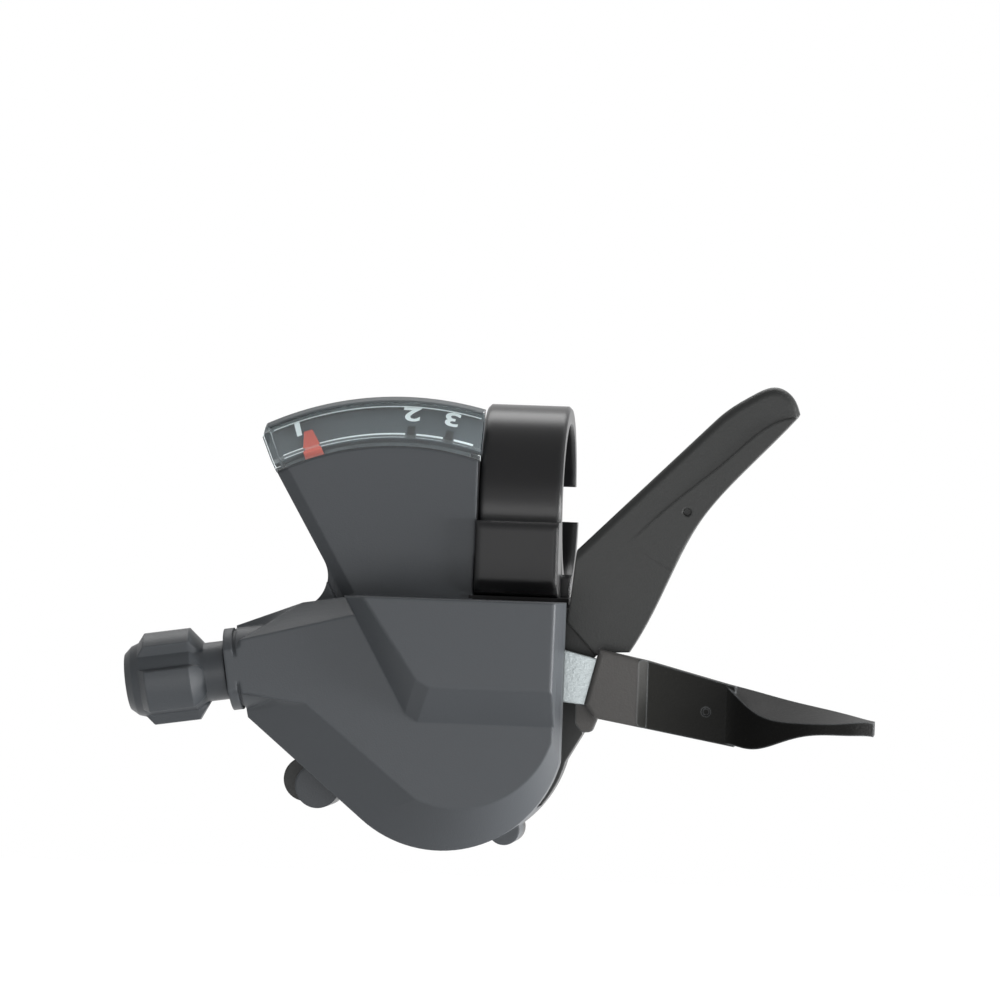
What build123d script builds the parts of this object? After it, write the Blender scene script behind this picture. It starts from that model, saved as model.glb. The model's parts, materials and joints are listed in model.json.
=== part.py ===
from build123d import *
import os
from math import acos, atan2, cos, degrees, hypot, radians, sin, sqrt

# Trigger gear shifter for the left end of a straight handlebar, seen from its front.
# The origin is on the bar's axis in the middle of the clamp band. X runs along the bar towards
# the grip, Z is up, and the pod hangs below and in front of the bar, towards -Y.
# A depth is a distance in front of the bar's axis, so a depth of 20 lies at Y = -20.

os.makedirs("parts", exist_ok=True)

# Clamp band
bar_diameter = 22.2
band_wall = 2.4
band_width = 11.6
band_gap = 5.0
band_gap_drop = 0.3
band_edge = 0.4
block_top = -2.9
jaw_reach = 0.45
underside_left = -6.6
underside_right = 7.2
block_round = 2.2
ear_width = 9.2
ear_reach = 8.0
ear_thickness = 4.4
foot_width = 10.8
foot_thickness = 3.6
foot_length = 11.0

# Fasteners
clamp_bolt_diameter = 5.0
clamp_head_diameter = 8.5
clamp_head_height = 5.0
clamp_hex = 4.0
foot_screw_diameter = 3.0
foot_screw_spacing = 6.0
cover_screw_diameter = 2.0
cover_screw_head = 3.8
thread_clearance = 0.05

# Layers of the mechanism, from the base plate forwards
plate_gap = 0.5
base_thickness = 1.6
release_spring_room = 1.2
neck_thickness = 1.4
release_thickness = 2.4
layer_gap = 0.8
lever_thickness = 2.0
ratchet_thickness = 1.6
reel_thickness = 3.1
reel_front_room = 1.9
run_clearance = 0.05
touch_gap = 0.1

# Pod
cover_wall = 1.5
pod_gap = 0.3
pod_radius = 16.7
pod_right = 16.2
pod_top = 17.9
flank_depth = 4.5
panel_rise = 4.0
crease_radius = 0.5
panel_corner = 1.1
rear_depth = 5.6
rear_bevel = 0.8
axle_x = -8.5
lug_radius = 3.1
rear_lug_shift = (-2.3, 0.65)
low_lug_radius = 2.2
lug_height = 6.0

# Gear display, with radii from the needle's pivot and angles from upright, clockwise
needle_pivot_offset = (-8.2, 0.4)
fan_left_angle = -26.9
fan_lean = -30.2
fan_radius = 38.2
fan_wall = 1.0
fan_room = 1.4
fan_back = 1.0
fan_side_wall = 1.2
fan_root_radius = 18.3
fan_fillet = 4.5
fan_end_gap = 0.1
fan_bevel = (1.7, 0.8)
window_lip = 1.7
window_slope_run = 4.8
window_slope_drop = 3.6
window_rim = 0.5
window_skirt = 1.9
window_foot_width = 1.7
window_foot_height = 0.7
window_wall = 0.9
window_cap = 1.5
window_corner = (1.5, 1.6)
window_overlap = 0.35
dial_offset = 2.1
dial_thickness = 0.8
dial_start = 0.95
needle_rest_angle = -18.5
needle_shank_angle = -15.0
needle_sweep = 26.6
needle_thickness = 0.5
needle_gap = 0.4
needle_tip_offset = 1.3
needle_tip_length = 3.6
needle_half_width = 1.3

# Levers, reel and pawls, with polar angles from +X, anticlockwise, about the main axle
axle_diameter = 5.0
hub_radius = 8.0
lever_stroke = 44.0
release_stroke = 14.0
reel_stroke = 60.0
second_gear_turn = 42.9
reel_groove_radius = 11.65
reel_flange_radius = 13.4
reel_hub_radius = 8.5
cable_diameter = 1.2
nipple_diameter = 4.2
ratchet_radius = 8.9
notch_radius = 7.5
nose_lift = 0.25
drive_pin_radius = 9.5
drive_pin_start = 262.0
drive_pin_diameter = 1.8
feed_pivot = (13.0, 95.0)
feed_pin_diameter = 2.4
feed_nose_angle = 56.0
holding_pivot = (14.5, 170.0)
holding_pin_diameter = 3.0
holding_nose_angle = 126.0
release_pin_place = (11.2, 148.0)
release_pin_diameter = 2.0
pawl_ratio = 0.68
spring_wire = 0.6
spring_turns = 3
spring_post_radius = 6.9
spring_post_size = 0.7
release_post_angle = 330.0
lever_post_angle = 200.0
feed_lobe_radius = 2.9
feed_post = (-3.4, 8.3)
ear_radius = 2.0
peg_radius = 0.9
arm_hole_diameter = 1.2
arm_hole_depth = 1.4
arm_edge_radius = 1.2
band_rise = 0.55

# Cable adjuster, along an axis that rises towards the reel
barrel_rise = 9.0
boss_face = 28.2
boss_radius = 5.65
boss_length = 8.0
collar_length = 1.3
collar_groove = 0.45
shank_radius = 3.0
shank_length = 6.4
neck_radius = 4.05
neck_length = 2.8
knob_length = 11.2
knob_radius = 6.35
knob_core_radius = 5.2
knob_end_radius = 3.9
knob_pads = 4
pad_width = 5.8
first_pad_angle = -18.0
pad_corner = 2.2
seat_radius = 2.6
seat_depth = 8.0
wire_hole_radius = 0.9

# Thumb paddle, with reaches along the bar from the clamp
pad_root = 29.4
paddle_reach = 50.6
paddle_skin = 0.5
sleeve_rise = 2.0
sleeve_bevel = 1.2
sleeve_edge_radius = 0.7
web_rise = 0.7

# Values that follow from the sizes above
bar_radius = bar_diameter / 2
band_radius = bar_radius + band_wall
axle_z = -(band_radius + pod_gap + pod_top)
base_rear = band_radius + plate_gap
base_front = base_rear + base_thickness
release_rear = base_front + release_spring_room
neck_front = release_rear + neck_thickness
release_front = release_rear + release_thickness
lever_rear = release_front + layer_gap
lever_front = lever_rear + lever_thickness
ratchet_rear = lever_front + layer_gap
ratchet_front = ratchet_rear + ratchet_thickness
reel_rear = ratchet_front + touch_gap
reel_front = reel_rear + reel_thickness
groove_depth = (reel_rear + reel_front) / 2
plateau_front = reel_front + reel_front_room + cover_wall
panel_front = plateau_front + panel_rise
rim_front = plateau_front - flank_depth
opening_front = lever_front + 0.6
rear_back = base_rear - rear_depth
axle_radius = axle_diameter / 2
fan_front = base_rear + 1.0
fan_inside = fan_front - fan_wall
needle_front = fan_inside - needle_gap
needle_ratio = needle_sweep / reel_stroke
slope_length = hypot(window_slope_run, window_slope_drop)


def deck(depth):
    """Plane square to the main axle, with its origin on the axle, at a depth."""
    return Plane(origin=(axle_x, -depth, axle_z), x_dir=(1, 0, 0), z_dir=(0, -1, 0))


def polar(radius, angle):
    """Point about the main axle, in the axes of a deck."""
    return (radius * cos(radians(angle)), radius * sin(radians(angle)))


def turned(point, angle, centre=(0, 0)):
    """The point turned anticlockwise about a centre."""
    dx = point[0] - centre[0]
    dy = point[1] - centre[1]
    c = cos(radians(angle))
    s = sin(radians(angle))
    return (centre[0] + c * dx - s * dy, centre[1] + s * dx + c * dy)


def shifted(point, dx, dy):
    """The point moved by dx and dy."""
    return (point[0] + dx, point[1] + dy)


def between(start, end, share):
    """Point that share of the way along a straight line."""
    return (start[0] + share * (end[0] - start[0]), start[1] + share * (end[1] - start[1]))


def tangent_point(point, radius):
    """Where the lower tangent from a point on the left meets a circle about the axle."""
    reach = hypot(point[0], point[1])
    return polar(radius, degrees(atan2(point[1], point[0]) + acos(radius / reach)))


def on_arc(radius, angle):
    """Point on the display, by radius from the needle's pivot and angle from upright."""
    px, pz = needle_pivot_offset
    return (px + radius * sin(radians(angle)), pz + radius * cos(radians(angle)))


def display_plane(angle):
    """Plane through the needle's pivot, with radius along its x and depth along its y."""
    pivot = (axle_x + needle_pivot_offset[0], 0, axle_z + needle_pivot_offset[1])
    s = sin(radians(angle))
    c = cos(radians(angle))
    return Plane(origin=pivot, x_dir=(s, 0, c), z_dir=(c, 0, -s))


def barrel_plane(distance):
    """Plane square to the cable's line, facing out of the pod, at a distance from the axle."""
    c = cos(radians(barrel_rise))
    s = sin(radians(barrel_rise))
    x = axle_x - reel_groove_radius * s - distance * c
    z = axle_z + reel_groove_radius * c - distance * s
    return Plane(origin=(x, -groove_depth, z), x_dir=(0, 1, 0), z_dir=(-c, 0, -s))


def under_slope(along, below):
    """Point of the display's section, by the way along the window's slope and the depth under it."""
    run = window_slope_run / slope_length
    drop = window_slope_drop / slope_length
    radius = fan_radius + window_lip + along * run - below * drop
    depth = fan_front - along * drop - below * run
    return (radius, depth)


def save(piece, name):
    """Label a finished piece and write its file."""
    piece.part.label = name
    export_step(piece.part, f"parts/{name}.step")


# Outlines of the pod, about the axle: the rim, and the flat front inside its sloped flanks
rim_right_low = (pod_right, -sqrt(pod_radius**2 - pod_right**2))
rim_right_top = (pod_right, pod_top)
rim_step = (-12.5, pod_top)
rim_shoulder = (-19.8, pod_top - 1.2)
boss_top = (-29.1, pod_top - 4.8)
boss_bottom = (-27.8, 1.4)
rim_tangent = tangent_point(boss_bottom, pod_radius)
rim_knee = between(boss_bottom, rim_tangent, 0.35)

flat_right_low = (pod_right - 0.7, -1.1)
flat_right_top = (pod_right - 0.3, pod_top)
flat_step = (-12.7, pod_top - 2.7)
flat_boss_top = (-28.1, pod_top - 6.7)
flat_shoulder = between(flat_step, flat_boss_top, 0.45)
flat_boss_bottom = (-27.3, 3.9)
flat_knee = (-18.5, 2.95)
flat_corner = (-2.95, -9.6)
flat_bottom = (pod_right - 6.0, -8.3)

panel_foot = [(-13.7, pod_top), (-4.2, 0.9), (pod_right - 0.45, 0.9), (pod_right - 0.3, pod_top)]
panel_face = [(-10.75, pod_top), (-2.4, 5.8), (pod_right - 0.6, 5.8), (pod_right - 0.5, pod_top)]

lug_place = (-17.7, -8.7)
low_lug_place = (8.4, -13.7)


def rim_outline(depth, inset=0.0):
    """Outline of the pod at its rim, on the deck at a depth."""
    with BuildSketch(deck(depth)) as outline:
        with BuildLine():
            Polyline(
                rim_right_low, rim_right_top, rim_step, rim_shoulder, boss_top, boss_bottom, rim_knee,
                rim_tangent,
            )
            ThreePointArc(rim_tangent, (0, -pod_radius), rim_right_low)
        make_face()
        offset(amount=-inset, kind=Kind.INTERSECTION, mode=Mode.REPLACE)
    return outline.sketch


def flat_outline(depth, inset=0.0):
    """Outline of the pod's flat front, on the deck at a depth."""
    with BuildSketch(deck(depth)) as outline:
        with BuildLine():
            Polyline(
                flat_right_low, flat_right_top, flat_step, flat_shoulder, flat_boss_top, flat_boss_bottom,
                flat_knee, flat_corner,
            )
            ThreePointArc(flat_corner, flat_bottom, flat_right_low)
        make_face()
        offset(amount=-inset, kind=Kind.INTERSECTION, mode=Mode.REPLACE)
    return outline.sketch


def panel_outline(corners, depth, inset=0.0):
    """Outline of the raised panel at its foot or its face, on the deck at a depth."""
    with BuildSketch(deck(depth)) as outline:
        Polygon(*corners, align=None)
        offset(amount=-inset, kind=Kind.INTERSECTION, mode=Mode.REPLACE)
    return outline.sketch


# The fan that carries the display, about the axle
fan_right = -band_width / 2 - fan_end_gap - axle_x
fan_back_front = fan_inside - fan_room
fan_rear = fan_back_front - fan_back
fan_floor = pod_top + 0.15
back_radius = under_slope(dial_start, dial_offset + dial_thickness)[0] - touch_gap
lean = (sin(radians(fan_lean)), cos(radians(fan_lean)))
fan_heel = between(rim_shoulder, boss_top, 0.4)


def fan_end(radius, inset=0.0):
    """Where an arc of the display meets the fan's right end."""
    px, pz = needle_pivot_offset
    return (fan_right - inset, pz + sqrt(radius**2 - (fan_right - inset - px) ** 2))


def fan_start(radius, inset=0.0):
    """Where an arc of the display meets the fan's left side."""
    px, pz = needle_pivot_offset
    top_x, top_z = on_arc(fan_radius, fan_left_angle)
    dx = top_x - px + inset * lean[1]
    dz = top_z - pz - inset * lean[0]
    along = dx * lean[0] + dz * lean[1]
    reach = sqrt(along**2 - dx**2 - dz**2 + radius**2) - along
    return (px + dx + reach * lean[0], pz + dz + reach * lean[1])


fan_root = fan_start(fan_root_radius)


def fan_outline(depth, floor, inset=0.0, top=fan_radius):
    """The fan between its left and right sides, from a floor up to an arc, on the deck at a depth."""
    left_top = fan_start(top, inset)
    reach = (floor - left_top[1]) / lean[1]
    left_low = shifted(left_top, reach * lean[0], floor - left_top[1])
    with BuildSketch(deck(depth)) as outline:
        with BuildLine():
            Polyline(left_top, left_low, (fan_right - inset, floor), fan_end(top, inset))
            ThreePointArc(fan_end(top, inset), on_arc(top, 0), left_top)
        make_face()
    return outline.sketch


# Front cover: skirt, sloped flanks, raised panel, adjuster boss, fan and screw lugs in one moulding
with BuildPart() as front_cover:
    extrude(rim_outline(base_rear), amount=rim_front - base_rear)
    loft([rim_outline(rim_front), flat_outline(plateau_front)], ruled=True)
    loft(
        [panel_outline(panel_foot, plateau_front), panel_outline(panel_face, panel_front)],
        ruled=True,
    )
    corner_point = deck(panel_front).from_local_coords((*panel_face[1], 0))
    corner_edges = front_cover.edges().sort_by_distance(corner_point)[:3]
    chamfer(corner_edges.sort_by(Axis.Y)[-1], panel_corner)
    panel_creases = front_cover.faces().sort_by(Axis.Y)[0].edges().sort_by(Axis.Z)[:-1]
    fillet(panel_creases, crease_radius)
    # Fan with its side walls, rounded where it leaves the shoulder of the pod
    extrude(fan_outline(fan_inside, pod_top - cover_wall), amount=fan_wall)
    with BuildSketch(deck(fan_inside)) as heel:
        Polygon(
            fan_start(1.6 * fan_root_radius), fan_root, fan_heel, shifted(fan_heel, 1, -1),
            (0, pod_top - 2 * cover_wall), align=None,
        )
        fillet(heel.vertices().sort_by_distance((*fan_root, 0))[0], fan_fillet)
    extrude(amount=fan_wall)
    extrude(fan_outline(fan_rear, fan_floor), amount=fan_inside - fan_rear)
    extrude(fan_outline(fan_rear, fan_floor, top=back_radius), amount=fan_back)
    extrude(
        fan_outline(fan_rear, fan_floor - 1, fan_side_wall, fan_radius + 2),
        amount=fan_inside - fan_rear,
        mode=Mode.SUBTRACT,
    )
    fan_left = Vector(*fan_start(fan_radius)) - Vector(*fan_root)
    with BuildSketch(
        Plane(
            origin=deck(fan_front).from_local_coords((*fan_root, 0)),
            x_dir=(lean[1], 0, -lean[0]),
            z_dir=(lean[0], 0, lean[1]),
        )
    ):
        Polygon((-fan_wall, 0), (fan_bevel[0], 0), (0, fan_bevel[1]), (-fan_wall, fan_bevel[1]), align=None)
    extrude(amount=fan_left.length, mode=Mode.SUBTRACT)
    # Hollow inside, with even walls
    flank_start = rim_front - cover_wall / 2
    extrude(rim_outline(fan_rear, cover_wall), amount=flank_start - fan_rear, mode=Mode.SUBTRACT)
    loft(
        [rim_outline(flank_start, cover_wall), flat_outline(plateau_front - cover_wall, 0.8 * cover_wall)],
        ruled=True,
        mode=Mode.SUBTRACT,
    )
    loft(
        [
            panel_outline(panel_foot, plateau_front - cover_wall, cover_wall),
            panel_outline(panel_face, panel_front - cover_wall, cover_wall),
        ],
        ruled=True,
        mode=Mode.SUBTRACT,
    )
    # Boss for the cable adjuster, cut flat at the front and bored for its shank
    with BuildSketch(barrel_plane(boss_face)):
        Circle(boss_radius)
    extrude(amount=-boss_length)
    with BuildSketch(deck(plateau_front)):
        with Locations(flat_shoulder):
            Rectangle(2 * boss_length, 4 * boss_radius, align=(Align.MAX, Align.CENTER))
    extrude(amount=panel_rise, mode=Mode.SUBTRACT)
    # Collar at the boss's end, set off by a groove
    for inner, start, length in (
        (boss_radius, boss_face, collar_length),
        (boss_radius - collar_groove, boss_face - collar_length, collar_groove),
    ):
        with BuildSketch(barrel_plane(start)):
            Circle(1.6 * boss_radius)
            Circle(inner, mode=Mode.SUBTRACT)
        extrude(amount=-length, mode=Mode.SUBTRACT)
    with BuildSketch(barrel_plane(boss_face)):
        Circle(shank_radius + run_clearance)
    extrude(amount=-shank_length - layer_gap, mode=Mode.SUBTRACT)
    with BuildSketch(barrel_plane(boss_face)):
        Circle(wire_hole_radius)
    extrude(amount=-boss_length - cover_wall, mode=Mode.SUBTRACT)
    # Slot at the right for both levers
    with BuildSketch(deck(base_rear)):
        Polygon((2.5, 24), (24, 24), (24, -10.5), (12.4, -10.5), (8, -5), (2.5, 12), align=None)
    extrude(amount=opening_front - base_rear, mode=Mode.SUBTRACT)
    # Screw lugs on the lower rim
    for place, radius in ((lug_place, lug_radius), (low_lug_place, low_lug_radius)):
        with BuildSketch(deck(base_rear)):
            with Locations(place):
                Circle(radius)
        extrude(amount=lug_height)
        with BuildSketch(deck(base_rear)):
            with Locations(place):
                Circle(cover_screw_diameter / 2 + thread_clearance)
        extrude(amount=lug_height - cover_wall, mode=Mode.SUBTRACT)
save(front_cover, "front_cover")

# Rear cover: tray behind the base plate, open at the top for the clamp's foot and the needle
tray_inside = rear_back + cover_wall
tray_wall = cover_wall + 0.7
foot_half = foot_width / 2
skirt_tab = [(12.0, 6.5), (17.3, 4.4), (17.5, 1.6), (18.4, -0.3), (14.9, -6.4), (7.0, -13.0)]
with BuildPart() as rear_cover:
    loft([rim_outline(rear_back, rear_bevel), rim_outline(rear_back + rear_bevel)], ruled=True)
    extrude(rim_outline(rear_back + rear_bevel), amount=rear_depth - rear_bevel)
    with BuildSketch(deck(base_rear)):
        Polygon(*skirt_tab, align=None)
    extrude(amount=-rear_depth + cover_wall)
    extrude(rim_outline(tray_inside, tray_wall), amount=base_rear - tray_inside, mode=Mode.SUBTRACT)
    with BuildSketch(deck(rear_back)):
        with Locations((-axle_x, pod_top)):
            Rectangle(foot_width + 1.2, 2 * foot_length + 1.2)
    extrude(amount=rear_depth, mode=Mode.SUBTRACT)
    with BuildSketch(deck(fan_back_front)):
        Polygon((-16.5, pod_top + 2), (-2.0, pod_top + 2), (-3.0, 8), (-14.0, 8), align=None)
    extrude(amount=base_rear - fan_back_front, mode=Mode.SUBTRACT)
    for place, radius in ((lug_place, lug_radius), (low_lug_place, low_lug_radius)):
        with BuildSketch(deck(base_rear)):
            with Locations(place):
                Circle(radius)
            if place == lug_place:
                with Locations(shifted(place, *rear_lug_shift)):
                    Circle(radius)
        extrude(amount=-rear_depth + cover_wall)
        with BuildSketch(deck(base_rear)):
            with Locations(place):
                Circle(cover_screw_diameter / 2 + touch_gap)
        extrude(amount=-rear_depth, mode=Mode.SUBTRACT)
        with BuildSketch(deck(tray_inside)):
            with Locations(place):
                Circle(cover_screw_head / 2 + touch_gap)
        extrude(amount=-rear_depth, mode=Mode.SUBTRACT)
save(rear_cover, "rear_cover")

# Cover screws, put in from behind
with BuildPart() as cover_screws:
    head_rear = rear_back + cover_wall
    for place in (lug_place, low_lug_place):
        with BuildSketch(deck(head_rear)):
            with Locations(place):
                Circle(cover_screw_diameter / 2)
        extrude(amount=base_rear + lug_height - 2 * cover_wall - head_rear)
        with BuildSketch(deck(head_rear)):
            with Locations(place):
                Circle(cover_screw_head / 2)
        extrude(amount=-cover_wall)
        with BuildSketch(deck(head_rear - cover_wall)):
            with Locations(place):
                Rectangle(0.55 * cover_screw_head, 0.14 * cover_screw_head)
                Rectangle(0.14 * cover_screw_head, 0.55 * cover_screw_head)
        extrude(amount=0.6 * cover_wall, mode=Mode.SUBTRACT)
save(cover_screws, "cover_screws")

# Base plate that carries the axle, the holding pawl and the clamp's foot
pawl_post = polar(14.0, 195.0)
foot_screw_drop = pod_top - 0.68 * foot_length
foot_screw_places = [(-axle_x + side * foot_screw_spacing / 2, foot_screw_drop) for side in (-1, 1)]
with BuildPart() as base_plate:
    extrude(rim_outline(base_rear, cover_wall + touch_gap), amount=base_thickness)
    with BuildSketch(deck(base_rear)):
        Circle(axle_radius + run_clearance)
        with Locations(polar(*holding_pivot)):
            Circle(holding_pin_diameter / 2 + run_clearance)
        with Locations(needle_pivot_offset):
            Circle(holding_pin_diameter / 2 + run_clearance)
        with Locations(*foot_screw_places):
            Circle(foot_screw_diameter / 2 + thread_clearance)
        with BuildLine() as slot_line:
            CenterArc((0, 0), drive_pin_radius, drive_pin_start - reel_stroke, reel_stroke)
        trace(slot_line.line, line_width=drive_pin_diameter + layer_gap)
        with Locations(
            polar(drive_pin_radius, drive_pin_start), polar(drive_pin_radius, drive_pin_start - reel_stroke)
        ):
            Circle((drive_pin_diameter + layer_gap) / 2)
        for place, radius in ((lug_place, lug_radius), (low_lug_place, low_lug_radius)):
            with Locations(place):
                Circle(radius + touch_gap)
    extrude(amount=base_thickness, mode=Mode.SUBTRACT)
    with BuildSketch(deck(base_front)):
        with Locations(pawl_post):
            Circle(0.8)
    extrude(amount=lever_front - base_front)
save(base_plate, "base_plate")

# Clamp band: split ring with two ears behind the bar and a foot on the base plate
gap_top = band_gap / 2 - band_gap_drop
gap_bottom = -band_gap / 2 - band_gap_drop
ear_end = band_radius + ear_reach
bolt_y = ear_end - ear_reach / 2 - 0.2
foot_top = -(band_radius + pod_gap + 0.4)
block_low = -(band_radius - 0.2)
block_front = release_rear - 0.25
foot_rear = base_rear - foot_thickness
with BuildPart() as clamp_band:
    with BuildSketch(Plane.YZ):
        Circle(band_radius)
    extrude(amount=band_width / 2, both=True)
    chamfer(clamp_band.edges().filter_by(GeomType.CIRCLE), band_edge)
    with BuildSketch(Plane.YZ):
        with Locations((0, gap_top)):
            Rectangle(ear_end, ear_thickness, align=(Align.MIN, Align.MIN))
        with Locations((0, gap_bottom)):
            Rectangle(ear_end, ear_thickness, align=(Align.MIN, Align.MAX))
    extrude(amount=ear_width / 2, both=True)
    ear_corners = clamp_band.edges().filter_by(Axis.Z).group_by(Axis.Y)[-1]
    fillet(ear_corners, 0.42 * ear_width)
    with BuildSketch(Plane.YZ):
        Polygon(
            (-0.4 * band_radius, -0.85 * band_radius),
            (-0.6 * band_radius, foot_top + 0.3),
            (-base_rear, foot_top),
            (-base_rear, axle_z + pod_top - foot_length),
            (-foot_rear, axle_z + pod_top - foot_length),
            (-foot_rear, foot_top - foot_thickness),
            (0.1 * band_radius, -0.92 * band_radius),
            align=None,
        )
    extrude(amount=foot_half, both=True)
    # Block in front of the band, between the display and the levers
    with BuildSketch(Plane.YZ):
        Polygon(
            (-0.93 * band_radius, block_top),
            (-block_front + band_edge, block_top),
            (-block_front, block_top - 2 * band_edge),
            (-block_front, block_low + block_round),
            (-block_front + 0.16 * block_round, block_low + 0.48 * block_round),
            (-block_front + 0.48 * block_round, block_low + 0.16 * block_round),
            (-block_front + block_round, block_low),
            (-0.7 * band_radius, block_low),
            align=None,
        )
    extrude(amount=band_width / 2, both=True)
    block_edges = clamp_band.faces().sort_by(Axis.Y)[0].edges()
    chamfer(block_edges.filter_by(Axis.Z), band_edge)
    # Flat under the band, over the pod's top
    with BuildSketch(Plane.YZ.offset(underside_left)):
        Polygon(
            (-0.62 * band_radius, -0.75 * band_radius),
            (-0.62 * band_radius, -band_radius - pod_gap / 2),
            (-0.2 * band_radius, -band_radius - pod_gap / 2),
            (-0.2 * band_radius, -0.9 * band_radius),
            align=None,
        )
    extrude(amount=underside_right - underside_left)
    # Lower jaw, a little wider at the lever's side
    with BuildSketch(Plane.YZ.offset(band_width / 4)):
        Circle(band_radius - touch_gap)
        Circle(bar_radius + touch_gap, mode=Mode.SUBTRACT)
        with Locations((0, gap_bottom)):
            Rectangle(band_radius, band_radius, align=(Align.MIN, Align.MAX), mode=Mode.INTERSECT)
    extrude(amount=band_width / 4 + jaw_reach)
    with BuildSketch(Plane.YZ):
        Circle(bar_radius)
        with Locations((0, (gap_top + gap_bottom) / 2)):
            Rectangle(2 * ear_end, band_gap, align=(Align.MIN, Align.CENTER))
    extrude(amount=band_width, both=True, mode=Mode.SUBTRACT)
    with BuildSketch(Plane.XY):
        with Locations((0, bolt_y)):
            Circle(clamp_bolt_diameter / 2 + thread_clearance)
    extrude(amount=band_radius, both=True, mode=Mode.SUBTRACT)
    with BuildSketch(deck(base_rear)):
        with Locations(*foot_screw_places):
            Circle(foot_screw_diameter / 2 + touch_gap)
    extrude(amount=-foot_thickness - 1, mode=Mode.SUBTRACT)
save(clamp_band, "clamp_band")

# Clamp bolt with a hexagon socket, and the screws that hold the clamp's foot
with BuildPart() as clamp_bolt:
    with BuildSketch(Plane.XY.offset(gap_bottom - ear_thickness)):
        with Locations((0, bolt_y)):
            Circle(clamp_bolt_diameter / 2)
    extrude(amount=2 * ear_thickness + band_gap + 0.6)
    with BuildSketch(Plane.XY.offset(gap_bottom - ear_thickness)):
        with Locations((0, bolt_y)):
            Circle(clamp_head_diameter / 2)
    extrude(amount=-clamp_head_height)
    with BuildSketch(Plane.XY.offset(gap_bottom - ear_thickness - clamp_head_height)):
        with Locations((0, bolt_y)):
            RegularPolygon(clamp_hex / 2, 6, major_radius=False)
    extrude(amount=0.6 * clamp_head_height, mode=Mode.SUBTRACT)
    chamfer(clamp_bolt.edges().filter_by(GeomType.CIRCLE).sort_by(Axis.Z)[0], 0.4)
save(clamp_bolt, "clamp_bolt")

with BuildPart() as foot_screws:
    for place in foot_screw_places:
        with BuildSketch(deck(foot_rear)):
            with Locations(place):
                Circle(foot_screw_diameter / 2)
        extrude(amount=base_front - foot_rear)
        with BuildSketch(deck(foot_rear)):
            with Locations(place):
                Circle(0.9 * foot_screw_diameter)
        extrude(amount=-0.6 * foot_screw_diameter)
        with BuildSketch(deck(foot_rear - 0.6 * foot_screw_diameter)):
            with Locations(place):
                RegularPolygon(0.42 * foot_screw_diameter, 6, major_radius=False)
        extrude(amount=0.35 * foot_screw_diameter, mode=Mode.SUBTRACT)
save(foot_screws, "foot_screws")

# Main axle with its rear head, and the washers and clip that hold the stack on it
axle_end = reel_front + 0.85 * reel_front_room
clip_rear = reel_front + 0.4 * reel_front_room
with BuildPart() as main_axle:
    with BuildSketch(deck(base_rear)):
        Circle(axle_radius)
    extrude(amount=axle_end - base_rear)
    with BuildSketch(deck(base_rear)):
        Circle(1.7 * axle_radius)
    extrude(amount=-0.7)
    with BuildSketch(deck(clip_rear)):
        Circle(axle_radius)
        Circle(0.8 * axle_radius, mode=Mode.SUBTRACT)
    extrude(amount=spring_wire, mode=Mode.SUBTRACT)
save(main_axle, "main_axle")

with BuildPart() as axle_clip:
    with BuildSketch(deck(clip_rear + run_clearance)):
        Circle(1.6 * axle_radius)
        Circle(0.8 * axle_radius + run_clearance, mode=Mode.SUBTRACT)
        with Locations((0, -axle_diameter)):
            Rectangle(1.4 * axle_radius, 2 * axle_diameter, mode=Mode.SUBTRACT)
    extrude(amount=spring_wire - 2 * run_clearance)
save(axle_clip, "axle_clip")

with BuildPart() as axle_washers:
    washers = (
        (lever_front + run_clearance, layer_gap - 2 * run_clearance),
        (reel_front + run_clearance, clip_rear - reel_front - run_clearance),
    )
    for start, height in washers:
        with BuildSketch(deck(start)):
            Circle(1.9 * axle_radius)
            Circle(axle_radius + run_clearance, mode=Mode.SUBTRACT)
        extrude(amount=height)
save(axle_washers, "axle_washers")


def spiral_ribbon(depth, end_angle):
    """Flat coil spring round the main axle, with an eye for a post at its outer end."""
    inner = axle_radius + run_clearance
    outer = spring_post_radius - spring_wire
    steps = 10 * spring_turns
    edges = []
    for side in (0, spring_wire):
        points = []
        for step in range(steps + 1):
            share = step / steps
            radius = inner + share * (outer - inner - spring_wire) + side
            points.append(polar(radius, end_angle - 360 * spring_turns * (1 - share)))
        edges.append(points)
    with BuildSketch(deck(depth)) as outline:
        with BuildLine():
            Spline(*edges[0])
            Line(edges[0][-1], edges[1][-1])
            Spline(*edges[1])
            Line(edges[1][0], edges[0][0])
        make_face()
        with Locations(polar(spring_post_radius, end_angle)):
            Circle(spring_post_size + spring_wire)
        with Locations(polar(spring_post_radius, end_angle)):
            Circle(spring_post_size + run_clearance, mode=Mode.SUBTRACT)
    return outline.sketch


# Release lever: hub and neck on the axle, a cam for the holding pawl, and the ridged finger arm
pawl_centre = polar(*holding_pivot)
pin_rest = polar(*release_pin_place)
pin_lifted = turned(turned(pin_rest, pawl_ratio * release_stroke, pawl_centre), -release_stroke)
ramp_length = hypot(pin_lifted[0] - pin_rest[0], pin_lifted[1] - pin_rest[1])
ramp_along = ((pin_lifted[0] - pin_rest[0]) / ramp_length, (pin_lifted[1] - pin_rest[1]) / ramp_length)
ramp_drop = release_pin_diameter / 2 + 0.15
ramp_foot = shifted(pin_rest, ramp_drop * ramp_along[1], -ramp_drop * ramp_along[0])
ramp_low = shifted(ramp_foot, -1.2 * ramp_along[0], -1.2 * ramp_along[1])
ramp_high = shifted(ramp_foot, (ramp_length + 0.6) * ramp_along[0], (ramp_length + 0.6) * ramp_along[1])
neck_line = [
    (-5.6, 5.7), (4.0, 13.5), (12.5, 16.4), (18.0, 17.4), (22.0, 17.0), (21.4, 12.0), (5.7, -5.6),
]
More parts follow.
